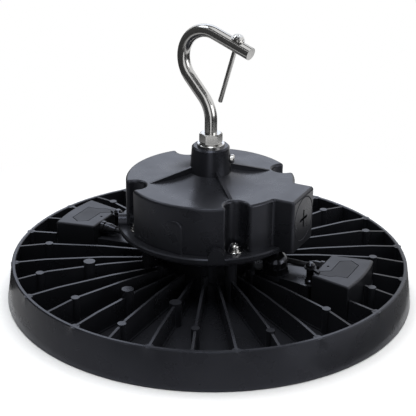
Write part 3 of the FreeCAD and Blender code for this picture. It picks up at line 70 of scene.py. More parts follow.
@dataclass(frozen=True)
class Patch:
    """A grid of points, closed round either direction when its wrap flag is set."""

    points: np.ndarray
    wrap_u: bool = False
    wrap_v: bool = False

    def faces(self, start: int) -> np.ndarray:
        """Return the grid's quads as vertex numbers.

        Args:
            start: number of the patch's first vertex in the whole mesh.

        Returns:
            An array of four vertex numbers a row.
        """
        rows, columns = self.points.shape[:2]
        u = np.arange(rows if self.wrap_u else rows - 1)
        v = np.arange(columns if self.wrap_v else columns - 1)
        u, v = (axis.ravel() for axis in np.meshgrid(u, v, indexing="ij"))
        after_u, after_v = (u + 1) % rows, (v + 1) % columns
        corners = (u * columns + v, u * columns + after_v,
                   after_u * columns + after_v, after_u * columns + v)
        return np.stack(corners, axis=1) + start


def turn(profile: Sequence[tuple[float, float]], steps: int = 48) -> Patch:
    """Turn a half section about +Z: x = r cos a, y = r sin a, z = z.

    Args:
        profile: radius and height of each point.
        steps: points round the axis.

    Returns:
        A patch closed round the axis.
    """
    section = np.asarray(profile, float)
    angle = np.linspace(0, 2 * np.pi, steps, endpoint=False)
    radius, height = section[:, :1], section[:, 1:]
    flat = np.broadcast_to(height, (len(section), steps))
    points = np.stack([radius * np.cos(angle), radius * np.sin(angle), flat], axis=2)
    return Patch(points, False, True)


def place(patch: Patch, origin: Sequence[float], axis: Sequence[float],
          spin: float = 0.0) -> Patch:
    """Carry a patch from the Z axis to another axis.

    Args:
        patch: patch built about +Z.
        origin: where the patch's own origin goes.
        axis: direction that its +Z then points.
        spin: turn about its own axis first, in radians.

    Returns:
        The carried patch.
    """
    turned = Vector(axis).to_track_quat("Z", "Y").to_matrix() @ Matrix.Rotation(spin, 3, "Z")
    points = patch.points @ np.array(turned).T + np.asarray(origin, float)
    return Patch(points, patch.wrap_u, patch.wrap_v)


def bearing(degrees: float) -> tuple[np.ndarray, np.ndarray]:
    """Return the level directions of an angle a: out (cos a, sin a) and across (-sin a, cos a).

    Args:
        degrees: the angle from +X.

    Returns:
        The direction out along the angle and the one across it.
    """
    turned = math.radians(degrees)
    out = np.array([math.cos(turned), math.sin(turned), 0.0])
    return out, np.array([-math.sin(turned), math.cos(turned), 0.0])


def stand(name: str, data: bpy.types.ID) -> bpy.types.Object:
    """Put a new object in the scene, at the origin.

    Args:
        name: the object's name.
        data: the mesh, lamp or camera that it holds.

    Returns:
        The object.
    """
    holder = bpy.data.objects.new(name, data)
    bpy.context.scene.collection.objects.link(holder)
    return holder


@contextmanager
def editing(mesh: bpy.types.Mesh) -> Iterator[bmesh.types.BMesh]:
    """Open a mesh for editing and write it back at the end.

    Args:
        mesh: the mesh to edit.

    Yields:
        Its editable form.
    """
    shell = bmesh.new()
    shell.from_mesh(mesh)
    yield shell
    shell.to_mesh(mesh)
    shell.free()


def soften(mesh: bpy.types.Mesh, degrees: float = SMOOTH_ANGLE) -> None:
    """Shade a mesh smooth but for the edges sharper than an angle."""
    mesh.shade_smooth()
    mesh.set_sharp_from_angle(angle=math.radians(degrees))


def weld(name: str, patches: Sequence[Patch]) -> bpy.types.Object:
    """Join patches into one mesh with its poles closed and its faces pointing outwards.

    Args:
        name: the piece's name.
        patches: the grids that make it up.

    Returns:
        The new object, at the origin.
    """
    points, quads, start = [], [], 0
    for patch in patches:
        flat = patch.points.reshape(-1, 3)
        points.append(flat)
        quads.append(patch.faces(start))
        start += len(flat)
    mesh = bpy.data.meshes.new(name)
    mesh.from_pydata(np.concatenate(points).tolist(), [], np.concatenate(quads).tolist())
    with editing(mesh) as shell:
        bmesh.ops.remove_doubles(shell, verts=shell.verts, dist=MERGE)
        bmesh.ops.dissolve_degenerate(shell, edges=shell.edges, dist=SLIVER)
        bmesh.ops.recalc_face_normals(shell, faces=shell.faces)
    soften(mesh)
    return stand(name, mesh)


# ---------------------------------------------------------------- finishes

class Bench:
    """Lays out the nodes of one procedural material on Object coordinates."""

    def __init__(self, name: str) -> None:
        """Start a material with a Principled shader.

        Args:
            name: the material's name.
        """
        self.material = bpy.data.materials.new(name)
        self.material.use_nodes = True
        self.tree = self.material.node_tree
        self.shader = self.tree.nodes["Principled BSDF"]
        self.where = self.tree.nodes.new("ShaderNodeTexCoord").outputs["Object"]

    def link(self, source: bpy.types.NodeSocket, target: bpy.types.NodeSocket) -> None:
        """Join two sockets."""
        self.tree.links.new(source, target)

    def stretch(self, scale: tuple[float, float, float]) -> bpy.types.NodeSocket:
        """Return Object coordinates scaled along each axis.

        Args:
            scale: factor along X, Y and Z.

        Returns:
            The scaled coordinates' socket.
        """
        node = self.tree.nodes.new("ShaderNodeMapping")
        node.inputs["Scale"].default_value = scale
        self.link(self.where, node.inputs["Vector"])
        return node.outputs["Vector"]

    def noise(self, scale: float, detail: float = 3.0,
              vector: bpy.types.NodeSocket | None = None) -> bpy.types.NodeSocket:
        """Return a noise pattern.

        Args:
            scale: cells to the metre.
            detail: octaves of finer noise.
            vector: coordinates to read, Object coordinates when left out.

        Returns:
            The noise's factor socket.
        """
        node = self.tree.nodes.new("ShaderNodeTexNoise")
        node.inputs["Scale"].default_value = scale
        node.inputs["Detail"].default_value = detail
        self.link(vector or self.where, node.inputs["Vector"])
        return node.outputs["Fac"]

    def spread(self, source: bpy.types.NodeSocket, low: float, high: float) -> bpy.types.NodeSocket:
        """Map a pattern's middle range onto low to high.

        Args:
            source: the pattern.
            low: value at the low end of the range.
            high: value at its high end.

        Returns:
            The mapped value's socket.
        """
        node = self.tree.nodes.new("ShaderNodeMapRange")
        node.inputs["From Min"].default_value = PATTERN_RANGE[0]
        node.inputs["From Max"].default_value = PATTERN_RANGE[1]
        node.inputs["To Min"].default_value = low
        node.inputs["To Max"].default_value = high
        self.link(source, node.inputs["Value"])
        return node.outputs["Result"]

    def blend(self, source: bpy.types.NodeSocket, low: tuple[float, ...],
              high: tuple[float, ...]) -> bpy.types.NodeSocket:
        """Return a colour that runs from low to high with a pattern.

        Args:
            source: the pattern.
            low: colour at the low end of the range.
            high: colour at its high end.

        Returns:
            The colour's socket.
        """
        node = self.tree.nodes.new("ShaderNodeValToRGB")
        node.color_ramp.elements[0].position = PATTERN_RANGE[0]
        node.color_ramp.elements[1].position = PATTERN_RANGE[1]
        node.color_ramp.elements[0].color = (*low, 1)
        node.color_ramp.elements[1].color = (*high, 1)
        self.link(source, node.inputs["Fac"])
        return node.outputs["Color"]

    def bump(self, source: bpy.types.NodeSocket, strength: float, depth: float,
             before: bpy.types.NodeSocket | None = None) -> bpy.types.NodeSocket:
        """Return a normal raised by a pattern.

        Args:
            source: the pattern.
            strength: how much of it is kept, 0 to 1.
            depth: height of the relief in metres.
            before: an earlier normal to build on.

        Returns:
            The normal socket.
        """
        node = self.tree.nodes.new("ShaderNodeBump")
        node.inputs["Strength"].default_value = strength
        node.inputs["Distance"].default_value = depth
        self.link(source, node.inputs["Height"])
        if before:
            self.link(before, node.inputs["Normal"])
        return node.outputs["Normal"]

    def shade(self, **values: float | tuple[float, ...]) -> None:
        """Set constants on the shader's own sockets; an underscore stands for a space."""
        for name, amount in values.items():
            self.shader.inputs[name.replace("_", " ")].default_value = amount


@dataclass(frozen=True)
class DarkCoat:
    """Powder coat, moulded plastic or rubber: mottled colour, uneven gloss and a fine grain.

    Scales are cells to the metre, depths are metres, and a mottle is a share of the colour.
    """

    name: str
    colour: tuple[float, float, float]
    rough: tuple[float, float]
    grain: float
    grain_depth: float
    specular: float = 0.5
    mottle: float = 0.25
    sheen_tint: tuple[float, float, float] = (0.80, 0.83, 1.0)
    mottle_scale: float = 22.0
    gloss_scale: float = 60.0
    swell_ratio: float = 6.0
    swell_strength: float = 0.25
    grain_strength: float = 0.5

    def material(self) -> bpy.types.Material:
        """Return the finish as a new material."""
        bench = Bench(self.name)
        broad = bench.noise(self.mottle_scale, 4.0)
        fine = bench.noise(self.grain, 2.0)
        darker = tuple(part * (1 - self.mottle) for part in self.colour)
        lighter = tuple(part * (1 + self.mottle) for part in self.colour)
        bench.link(bench.blend(broad, darker, lighter), bench.shader.inputs["Base Color"])
        bench.link(bench.spread(bench.noise(self.gloss_scale, 5.0), *self.rough),
                   bench.shader.inputs["Roughness"])
        swell = bench.bump(bench.noise(self.grain / self.swell_ratio, 2.0), self.swell_strength,
                           self.grain_depth * 2)
        bench.link(bench.bump(fine, self.grain_strength, self.grain_depth, swell),
                   bench.shader.inputs["Normal"])
        bench.shade(Specular_IOR_Level=self.specular, Specular_Tint=(*self.sheen_tint, 1.0))
        return bench.material


@dataclass(frozen=True)
class BrightSteel:
    """Polished stainless steel with faint drawing lines along one axis."""

    name: str
    colour: tuple[float, float, float]
    rough: tuple[float, float]
    line_scale: tuple[float, float, float]
    line_depth: float
    line_strength: float = 0.35
    cloud_scale: float = 90.0
    dulling: float = 0.88

    def material(self) -> bpy.types.Material:
        """Return the finish as a new material."""
        bench = Bench(self.name)
        lines = bench.noise(1.0, 4.0, bench.stretch(self.line_scale))
        cloud = bench.noise(self.cloud_scale, 4.0)
        duller = tuple(part * self.dulling for part in self.colour)
        bench.link(bench.blend(cloud, duller, self.colour), bench.shader.inputs["Base Color"])
        bench.link(bench.spread(lines, *self.rough), bench.shader.inputs["Roughness"])
        bench.link(bench.bump(lines, self.line_strength, self.line_depth),
                   bench.shader.inputs["Normal"])
        bench.shade(Metallic=1.0)
        return bench.material


@dataclass(frozen=True)
class ClearMoulding:
    """Clear moulded plastic with a faint flow pattern."""

    name: str
    colour: tuple[float, float, float]
    rough: tuple[float, float] = (0.05, 0.12)
    gloss_scale: float = 120.0
    flow_scale: float = 35.0
    flow_tint: float = 0.97
    flow_strength: float = 0.15
    flow_depth: float = 5.0e-5
    clearness: float = 0.9
    index: float = 1.58

    def material(self) -> bpy.types.Material:
        """Return the finish as a new material."""
        bench = Bench(self.name)
        flow = bench.noise(self.flow_scale, 3.0)
        tint = tuple(part * self.flow_tint for part in self.colour)
        bench.link(bench.blend(flow, tint, self.colour), bench.shader.inputs["Base Color"])
        bench.link(bench.spread(bench.noise(self.gloss_scale), *self.rough),
                   bench.shader.inputs["Roughness"])
        bench.link(bench.bump(flow, self.flow_strength, self.flow_depth),
                   bench.shader.inputs["Normal"])
        bench.shade(Transmission_Weight=self.clearness, IOR=self.index)
        return bench.material


class Finish(Enum):
    """The finishes by the record's slot names.

    A dark coat is given as its name, colour, roughness, grain and grain depth, and where they
    differ from the usual ones its specular level and mottle.
    """

    cast_black = DarkCoat("Satin black powder coat", (0.0105, 0.0110, 0.0132), (0.25, 0.33),
                          1500.0, 2.0e-5, 0.42)
    box_black = DarkCoat("Satin black moulding", (0.0080, 0.0084, 0.0098), (0.33, 0.40),
                         2600.0, 1.2e-5, 0.42)
    port_black = DarkCoat("Soft black moulding", (0.0066, 0.0069, 0.0080), (0.34, 0.42),
                          2600.0, 1.0e-5, 0.27)
    gloss_black = DarkCoat("Glossy black nylon", (0.006, 0.006, 0.0065), (0.10, 0.17),
                           700.0, 0.8e-5)
    lead_black = DarkCoat("Black sheath", (0.010, 0.010, 0.010), (0.42, 0.52), 1200.0, 2.0e-5)
    seal_rubber = DarkCoat("Dark silicone", (0.0035, 0.0035, 0.004), (0.6, 0.72), 900.0, 2.0e-5)
    ring_black = DarkCoat("Black lens ring", (0.012, 0.012, 0.013), (0.36, 0.44), 1800.0, 1.5e-5)
    white_board = DarkCoat("White solder mask", (0.80, 0.80, 0.78), (0.34, 0.42), 900.0, 1.0e-5,
                           mottle=0.03)
    led_yellow = DarkCoat("Phosphor", (0.85, 0.66, 0.12), (0.4, 0.5), 1500.0, 1.0e-5, mottle=0.06)
    green_board = DarkCoat("Green solder mask", (0.02, 0.12, 0.05), (0.28, 0.36), 800.0, 1.5e-5,
                           mottle=0.15)
    inner_parts = DarkCoat("Component casing", (0.05, 0.05, 0.055), (0.35, 0.5), 900.0, 1.5e-5)
    bright_steel = BrightSteel("Polished stainless", (0.62, 0.615, 0.605), (0.14, 0.20),
                               (700, 700, 60), 0.15e-5)
    clear_lens = ClearMoulding("Clear polycarbonate", (0.94, 0.96, 0.97))


class Wardrobe:
    """Makes each finish once and puts it on nodes and pieces."""

    def __init__(self) -> None:
        """Build a material for every finish."""
        self.materials = {finish.name: finish.value.material() for finish in Finish}

    def dress(self, target: bpy.types.Object, slot: str) -> None:
        """Give an object the one material of a slot."""
        target.data.materials.clear()
        target.data.materials.append(self.materials[slot])

    def dress_frame(self) -> None:
        """Give each CAD node the finish of its record slot."""
        for part in frame["record"]["subparts"]:
            self.dress(frame["nodes"][part["node"]], part["material_slot"])

    def add(self, piece: bpy.types.Object, slot: str, *stands_for: str) -> None:
        """Dress a new piece, let it ride on the housing and hide what it stands for.

        Args:
            piece: the new object.
            slot: the record's material slot.
            stands_for: CAD nodes that the piece replaces.
        """
        self.dress(piece, slot)
        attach(piece, ROOT)
        if stands_for:
            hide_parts(*stands_for)
        LOG.info("%s: %d faces", piece.name, len(piece.data.polygons))


# ---------------------------------------------------------------- fasteners

@dataclass(frozen=True)
class CrossHead:
    """Domed screw head with a tapered cross recess.

    A wall is given as where it ends and how wide it is: across an arm in half widths of the
    slot, and at an arm's end in shares of its reach.
    """

    radius: float
    height: float
    recess: float
    slot_half_width: float
    slot_reach: float
    rings: int = 26
    steps: int = 72
    crown_rim: float = 0.97
    crown_fall: float = 0.42
    skirt: float = 0.45
    arm_rise: float = 0.45
    side_wall: tuple[float, float] = (1.25, 0.5)
    end_wall: tuple[float, float] = (1.08, 0.16)

    def patch(self) -> Patch:
        """Return the head about +Z with its underside at z = 0.

        The crown is a squashed dome over radius r, z = h (1 - fall (r / R) ^ 4), with a skirt
        that drops from a share of h to the underside.  The cross is sunk where |x| or |y| is
        under the slot's half width, with soft walls, and gets shallower along its arms.

        Returns:
            A patch closed round the axis.
        """
        rings = self.rings
        # After the crown come its shoulder, the skirt's top and foot, and the underside's middle.
        radius = np.concatenate([np.linspace(0, self.crown_rim, rings), [0.99, 1.0, 1.0, 0.0]])
        radius = radius * self.radius
        share = radius / self.radius
        crown = self.height * (1 - self.crown_fall * share ** 4)
        crown[-3:] = (self.height * self.skirt, 0.0, 0.0)
        angle = np.linspace(0, 2 * np.pi, self.steps, endpoint=False)
        x, y = radius[:, None] * np.cos(angle), radius[:, None] * np.sin(angle)
        z = np.broadcast_to(crown[:, None], x.shape).copy()
        near = np.minimum(np.abs(x), np.abs(y)) / self.slot_half_width
        reach = np.hypot(x, y) / self.slot_reach
        side, end = (np.clip((last - part) / width, 0, 1) for part, (last, width) in
                     ((near, self.side_wall), (reach, self.end_wall)))
        depth = self.recess * (1 - self.arm_rise * np.clip(reach, 0, 1)) * (side * end)
        z[:rings] -= depth[:rings]
        return Patch(np.stack([x, y, z], axis=2), False, True)


def split_washer(inner: float, outer: float, height: float, rise: float, gap: float,
                 steps: int = 60) -> Patch:
    """Return a spring washer about +Z: a square section swept round all but a gap while it rises.

    Args:
        inner: inner radius.
        outer: outer radius.
        height: height of the section.
        rise: how much higher the far end is than the near end.
        gap: angle left open, in radians.
        steps: sections along the sweep.

    Returns:
        A patch with flat closed ends.
    """
    angle = np.linspace(gap / 2, 2 * np.pi - gap / 2, steps)
    lift = np.linspace(0, rise, steps)
    section = np.array([(inner, 0), (outer, 0), (outer, height), (inner, height)])
    radius, level = section[:, 0][None], section[:, 1][None]
    points = np.stack([radius * np.cos(angle)[:, None], radius * np.sin(angle)[:, None],
                       level + lift[:, None]], axis=2)
    ends = [np.broadcast_to(points[k].mean(axis=0), points[k].shape)[None] for k in (0, -1)]
    return Patch(np.concatenate([ends[0], points, ends[1]]), False, True)


def first_of_four(node: str) -> tuple[np.ndarray, np.ndarray]:
    """Return the box of the copy in the +X, +Y quarter of a node with one copy a quarter.

    Args:
        node: the CAD node's name.

    Returns:
        The copy's lowest and highest corners.
    """
    mesh = frame["nodes"][node].data
    points = np.empty(len(mesh.vertices) * 3)
    mesh.vertices.foreach_get("co", points)
    points = points.reshape(-1, 3)
    copy = points[(points[:, 0] > 0) & (points[:, 1] > 0)]
    return copy.min(axis=0), copy.max(axis=0)


@dataclass
class CoverFasteners:
    """The four screws, split washers and flat washers in the driver cover's notches."""

    wardrobe: Wardrobe
    hole: float = 2.1 * MM
    recess: float = 1.9 * MM
    slot_half_width: float = 0.6 * MM
    slot_reach: float = 2.6 * MM
    shank_radius: float = 1.9 * MM
    shank_point: float = 0.4 * MM
    spring_height: float = 0.72
    spring_rise: float = 0.26
    spring_gap: float = 0.16
    plate_radius: float = 6.6 * MM
    plate_edge: float = 0.35 * MM
    first_spin: float = 0.4
    spin_step: float = 0.9
    spring_spin: float = 1.7

    def shank(self, base: float, seat: float) -> Patch:
        """Return a plain shank with a blunt point.

        Args:
            base: height of its point.
            seat: height of the head's underside.

        Returns:
            A patch closed round the axis.
        """
        radius, point = self.shank_radius, self.shank_point
        return turn([(0, base), (radius - point, base), (radius, base + point), (radius, seat),
                     (0, seat)], steps=24)

    def plate(self, low: float, high: float) -> Patch:
        """Return the flat washer with its outer edges broken.

        Args:
            low: height of its lower face.
            high: height of its upper face.

        Returns:
            A patch closed round the axis.
        """
        hole, radius, edge = self.hole, self.plate_radius, self.plate_edge
        return turn([(hole, low), (radius - edge, low), (radius, low + edge),
                     (radius, high - edge), (radius - edge, high), (hole, high), (hole, low)],
                    steps=64)

    def build(self) -> None:
        """Make the screws and both kinds of washer where the CAD has them."""
        screw, ring = first_of_four("cover_screws"), first_of_four("cover_spring_washers")
        flat = first_of_four("cover_washers")
        (low_x, low_y, base), (high_x, high_y, top) = screw
        x, y = (low_x + high_x) / 2, (low_y + high_y) / 2
        foot, seat = ring[0][2], ring[1][2]
        room = seat - foot
        ring_radius = (ring[1][0] - ring[0][0]) / 2
        head = CrossHead((high_x - low_x) / 2, top - seat, self.recess, self.slot_half_width,
                         self.slot_reach).patch()
        shank, plate = self.shank(base, seat), self.plate(flat[0][2], flat[1][2])
        spring = split_washer(self.hole, ring_radius, room * self.spring_height,
                              room * self.spring_rise, self.spring_gap)
        screws, springs, plates = [], [], []
        for count, (side_x, side_y) in enumerate(((1, 1), (-1, 1), (-1, -1), (1, -1))):
            spot = (side_x * x, side_y * y)
            spin = self.first_spin + self.spin_step * count
            screws.append(place(head, (*spot, seat), UP, spin))
            screws.append(place(shank, (*spot, 0), UP))
            springs.append(place(spring, (*spot, foot), UP, spin * self.spring_spin))
            plates.append(place(plate, (*spot, 0), UP))
        self.wardrobe.add(weld("cover_screw_set", screws), "bright_steel", "cover_screws")
        self.wardrobe.add(weld("cover_spring_washer_set", springs), "bright_steel",
                          "cover_spring_washers")
        self.wardrobe.add(weld("cover_washer_set", plates), "bright_steel", "cover_washers")


# ---------------------------------------------------------------- housing

@dataclass
class Casting:
    """The finned casting, dressed without the boss that its solid has on the fin at 45 degrees.

    Heights are above the rim's foot, and halves are measured across the fin.
    """

    wardrobe: Wardrobe
    angle: float = 45.0
    circle: float = 100.5 * MM
    room: float = 5.0 * MM
    floor: float = 13.5 * MM
    ledge_top: float = 14.7 * MM
    crest: float = 33.2 * MM
    clear: float = 38.0 * MM
    fin_half: float = 1.0 * MM
    ledge_half: float = 1.9 * MM
    smooth_angle: float = 28.0

    def cutter(self) -> bpy.types.Object:
        """Return a prism that holds the boss but not its fin.

        Its section, across the fin, is an arch over the fin and its root ledge, and it is
        carried straight along the fin: p = (circle +- room) out + section across.

        Returns:
            The prism, closed and with its faces outwards.
        """
        wide = self.room
        section = np.array([
            (-wide, self.floor), (-self.ledge_half, self.floor), (-self.ledge_half, self.ledge_top),
            (-self.fin_half, self.ledge_top), (-self.fin_half, self.crest),
            (self.fin_half, self.crest), (self.fin_half, self.ledge_top),
            (self.ledge_half, self.ledge_top), (self.ledge_half, self.floor), (wide, self.floor),
            (wide, self.clear), (-wide, self.clear)])
        out, across = bearing(self.angle)
        ends = [section[:, :1] * across + section[:, 1:] * UP + out * (self.circle + reach)
                for reach in (-self.room, self.room)]
        count = len(section)
        sides = [(k, (k + 1) % count, count + (k + 1) % count, count + k) for k in range(count)]
        mesh = bpy.data.meshes.new("boss_room")
        mesh.from_pydata(np.concatenate(ends).tolist(), [],
                         [tuple(range(count))[::-1], tuple(range(count, 2 * count)), *sides])
        with editing(mesh) as shell:
            bmesh.ops.recalc_face_normals(shell, faces=shell.faces)
        return stand("boss_room", mesh)

    def build(self) -> None:
        """Copy the casting, close its seams and take the boss off."""
        mesh = frame["nodes"]["heatsink"].data.copy()
        for stored in [layer for layer in mesh.attributes
                       if layer.name in ("custom_normal", "sharp_edge")]:
            mesh.attributes.remove(stored)
        with editing(mesh) as shell:
            bmesh.ops.remove_doubles(shell, verts=shell.verts, dist=MERGE)
        casting = stand("finned_casting", mesh)
        cutter = self.cutter()
        cut = casting.modifiers.new("boss_room", "BOOLEAN")
        cut.operation, cut.solver, cut.object = "DIFFERENCE", "EXACT", cutter
        graph = bpy.context.evaluated_depsgraph_get()
        whole = bpy.data.meshes.new_from_object(casting.evaluated_get(graph))
        casting.modifiers.clear()
        casting.data = whole
        bpy.data.objects.remove(cutter)
        soften(whole, self.smooth_angle)
        self.wardrobe.add(casting, "cast_black", "heatsink")


@dataclass
class PlugGapShade:
    """Painted shade: a dark ring in the seal's rubber finish, laid round the conduit plug's edge to
    darken the gap round the plug.
    """

    wardrobe: Wardrobe
    gap_shade_radius: float = 0.55 * MM
    inset: float = 0.30 * MM
    gap: float = 0.12 * MM
    gap_shade_steps: int = 13

    def build(self) -> None:
        """Make the painted shade ring: a small circle of the ring's section radius r, z = r sin b,
        turned about the plug's axis.
        """
        low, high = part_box("conduit_plug")
        angle = np.linspace(0, 2 * np.pi, self.gap_shade_steps)
        radius = (high.y - low.y) / 2 - self.gap
        profile = np.stack([radius + self.gap_shade_radius * np.cos(angle), self.gap_shade_radius * np.sin(angle)], axis=1)
        centre = (high.x - self.inset, (low.y + high.y) / 2, (low.z + high.z) / 2)
        ring = place(turn(profile, steps=96), centre, (1, 0, 0))
        # This dark ring is painted shade for the gap round the plug, not a part of the housing.
        self.wardrobe.add(weld("plug_gap_shade", [ring]), "seal_rubber")


@dataclass
class RaisedPad:
    """The flat pad on the drum's front, with the soft edge of a casting.

    Its face and root are measured out from the axis and in from the face, its sides across.
    """

    wardrobe: Wardrobe
    angle: float = -97.0
    face: float = 67.35 * MM
    left: float = -4.7 * MM
    right: float = 18.75 * MM
    foot: float = 59.7 * MM
    top: float = 85.6 * MM
    corner: float = 6.0 * MM
    edge: float = 1.7 * MM
    root: float = 2.6 * MM
    corner_steps: int = 14
    edge_steps: int = 9

    def outline(self, inset: float) -> np.ndarray:
        """Return the pad's outline, drawn in from its top and right sides.

        Args:
            inset: how far it is drawn in.

        Returns:
            Rows of distance to the right and height, up the left side, along the top, round
            the corner, centre + R (sin a, cos a), and down the right side.
        """
        right, top, radius = self.right - inset, self.top - inset, self.corner - inset
        angle = np.linspace(0, np.pi / 2, self.corner_steps)
        arc = np.stack([right - radius + radius * np.sin(angle),
                        top - radius + radius * np.cos(angle)], axis=1)
        start = [(self.left, self.foot), (self.left, top)]
        return np.concatenate([start, arc, [(right, self.foot)]])

    def build(self) -> None:
        """Make the pad out of rings of its outline, from its root over its edge to its face.

        The edge is a quarter circle: depth = R (1 - sin b) and inset = R (1 - cos b).
        """
        bend = np.linspace(0, np.pi / 2, self.edge_steps)
        insets = np.concatenate([[0.0], self.edge * (1 - np.cos(bend))])
        depths = np.concatenate([[self.root], self.edge * (1 - np.sin(bend))])
        outlines = [self.outline(inset) for inset in insets]
        rings = [np.column_stack([outline, np.full(len(outline), self.face - depth)])
                 for outline, depth in zip(outlines, depths)]
        root, front = (np.broadcast_to(ring.mean(axis=0), ring.shape)
                       for ring in (rings[0], rings[-1]))
        # The face's middle stands before the last ring, so the face is laid twice and the last
        # ring's edge is open.  It belongs after that ring.
        grid = np.stack([root, *rings[:-1], front, rings[-1]])
        out, across = bearing(self.angle)
        points = grid[..., :1] * across + grid[..., 1:2] * UP + grid[..., 2:] * out
        self.wardrobe.add(weld("raised_pad", [Patch(points, False, True)]), "cast_black")


# ---------------------------------------------------------------- studio

REACH = 2.2  # metres: how far out the walls stand
CEILING = 2.2  # metres: how high the ceiling hangs
CLOTH_LEVEL = 0.0004  # metres: how high the cloths lie


@dataclass(frozen=True)
class Flag:
    """A strip of an arc about the axis that only reflections see.

    Angles are in degrees, and its two edges are given by their radius and height.  The glow is
    how bright it looks in a reflection, where 1 is white.
    """

    name: str
    first: float
    last: float
    near: float
    far: float
    foot: float
    crown: float
    glow: float

    def patch(self, steps: int = 40) -> Patch:
        """Return the strip between its edges, x = r cos a and y = r sin a on each.

        Args:
            steps: points along the arc.

        Returns:
            The strip's patch.
        """
        angle = np.radians(np.linspace(self.first, self.last, steps))
        ring = np.stack([np.cos(angle), np.sin(angle), np.zeros_like(angle)], axis=1)
        return Patch(np.stack([ring * radius + UP * height for radius, height in
                               ((self.near, self.foot), (self.far, self.crown))]))

    def hang(self) -> None:
        """Put the flag up with its plain glow."""
        flag = weld(self.name, [self.patch()])
        material = bpy.data.materials.new(self.name)
        material.use_nodes = True
        tree = material.node_tree
        tree.nodes.remove(tree.nodes["Principled BSDF"])
        shade = tree.nodes.new("ShaderNodeEmission")
        shade.inputs["Color"].default_value = (self.glow, self.glow, self.glow, 1)
        tree.links.new(shade.outputs[0], tree.nodes["Material Output"].inputs["Surface"])
        flag.data.materials.append(material)
        flag.visible_camera = flag.visible_diffuse = flag.visible_shadow = False
        flag.visible_transmission = flag.visible_volume_scatter = False


def cloth(name: str, first: float, last: float, near: float, far: float, glow: float) -> Flag:
    """Return a flag that lies on the floor between two radii."""
    return Flag(f"flag_cloth_{name}", first, last, near, far, CLOTH_LEVEL, CLOTH_LEVEL, glow)


def wall(name: str, first: float, last: float, crown: float, glow: float) -> Flag:
    """Return a flag that stands on the floor, up to a height."""
    return Flag(f"flag_wall_{name}", first, last, REACH, REACH, 0.0, crown, glow)


FLAGS = (
    cloth("rim_left", -250.0, -150.0, 0.171, 0.225, 0.03),
    cloth("rim_front", -150.0, -30.0, 0.171, 0.225, 0.50),
    cloth("rim_right", -30.0, 80.0, 0.171, 0.225, 0.16),
    cloth("drum_left", -250.0, -98.0, 0.225, 0.36, 0.40),
    cloth("drum_middle", -98.0, -64.0, 0.225, 0.27, 0.24),
    cloth("drum_right", -64.0, -36.0, 0.225, 0.27, 0.50),
    cloth("sleeve", -98.0, -36.0, 0.27, 0.36, 0.05),
    cloth("conduit", -36.0, 80.0, 0.225, 0.36, 0.86),
    cloth("rod_left", -250.0, -76.0, 0.36, REACH, 0.05),
    cloth("rod_right", -54.0, -36.0, 0.36, REACH, 0.05),
    cloth("rod_far", -36.0, 80.0, 0.36, REACH, 0.05),
    Flag("flag_ceiling", 0.0, 360.0, 0.95, 1.9, CEILING, CEILING, 0.07),
    wall("left", -208.0, -82.0, 2.2, 0.06),
    wall("right", -50.0, -25.0, 2.6, 0.10),
    wall("back_left", 95.0, 152.0, 0.45, 0.03),
    wall("back_right", 0.0, 60.0, 0.45, 0.25),
)


@dataclass(frozen=True)
class Lamp:
    """A square soft lamp that points at the housing, in metres and watts."""

    name: str
    place: tuple[float, float, float]
    size: float
    watts: float
    colour: tuple[float, float, float] = (1.0, 1.0, 1.0)
    in_gloss: bool = True
    aim_height: float = 0.08

    def hang(self) -> None:
        """Put the lamp up, in reflections or out of them."""
        data = bpy.data.lights.new(self.name, "AREA")
        data.shape, data.size = "SQUARE", self.size
        data.energy, data.color = self.watts, self.colour
        lamp = stand(self.name, data)
        lamp.visible_glossy = self.in_gloss
        direction = Vector((0, 0, self.aim_height)) - Vector(self.place)
        turned = direction.to_track_quat("-Z", "Y").to_matrix().to_4x4()
        lamp.matrix_world = Matrix.Translation(self.place) @ turned


LAMPS = (
    Lamp("overhead", (0.0, 0.2, 1.6), 1.4, 27.0, in_gloss=False),
    Lamp("front_high", (0.25, -0.55, 1.7), 0.5, 4.0, (0.9, 0.95, 1.0)),
    Lamp("left_high", (-1.3, 0.0, 1.7), 0.7, 6.0, (0.9, 0.95, 1.0)),
    Lamp("back_left", (-1.05, 1.75, 1.15), 1.3, 4.0, (0.62, 0.74, 1.0)),
    Lamp("right_side", (1.7, 0.0, 0.5), 0.8, 5.0),
)


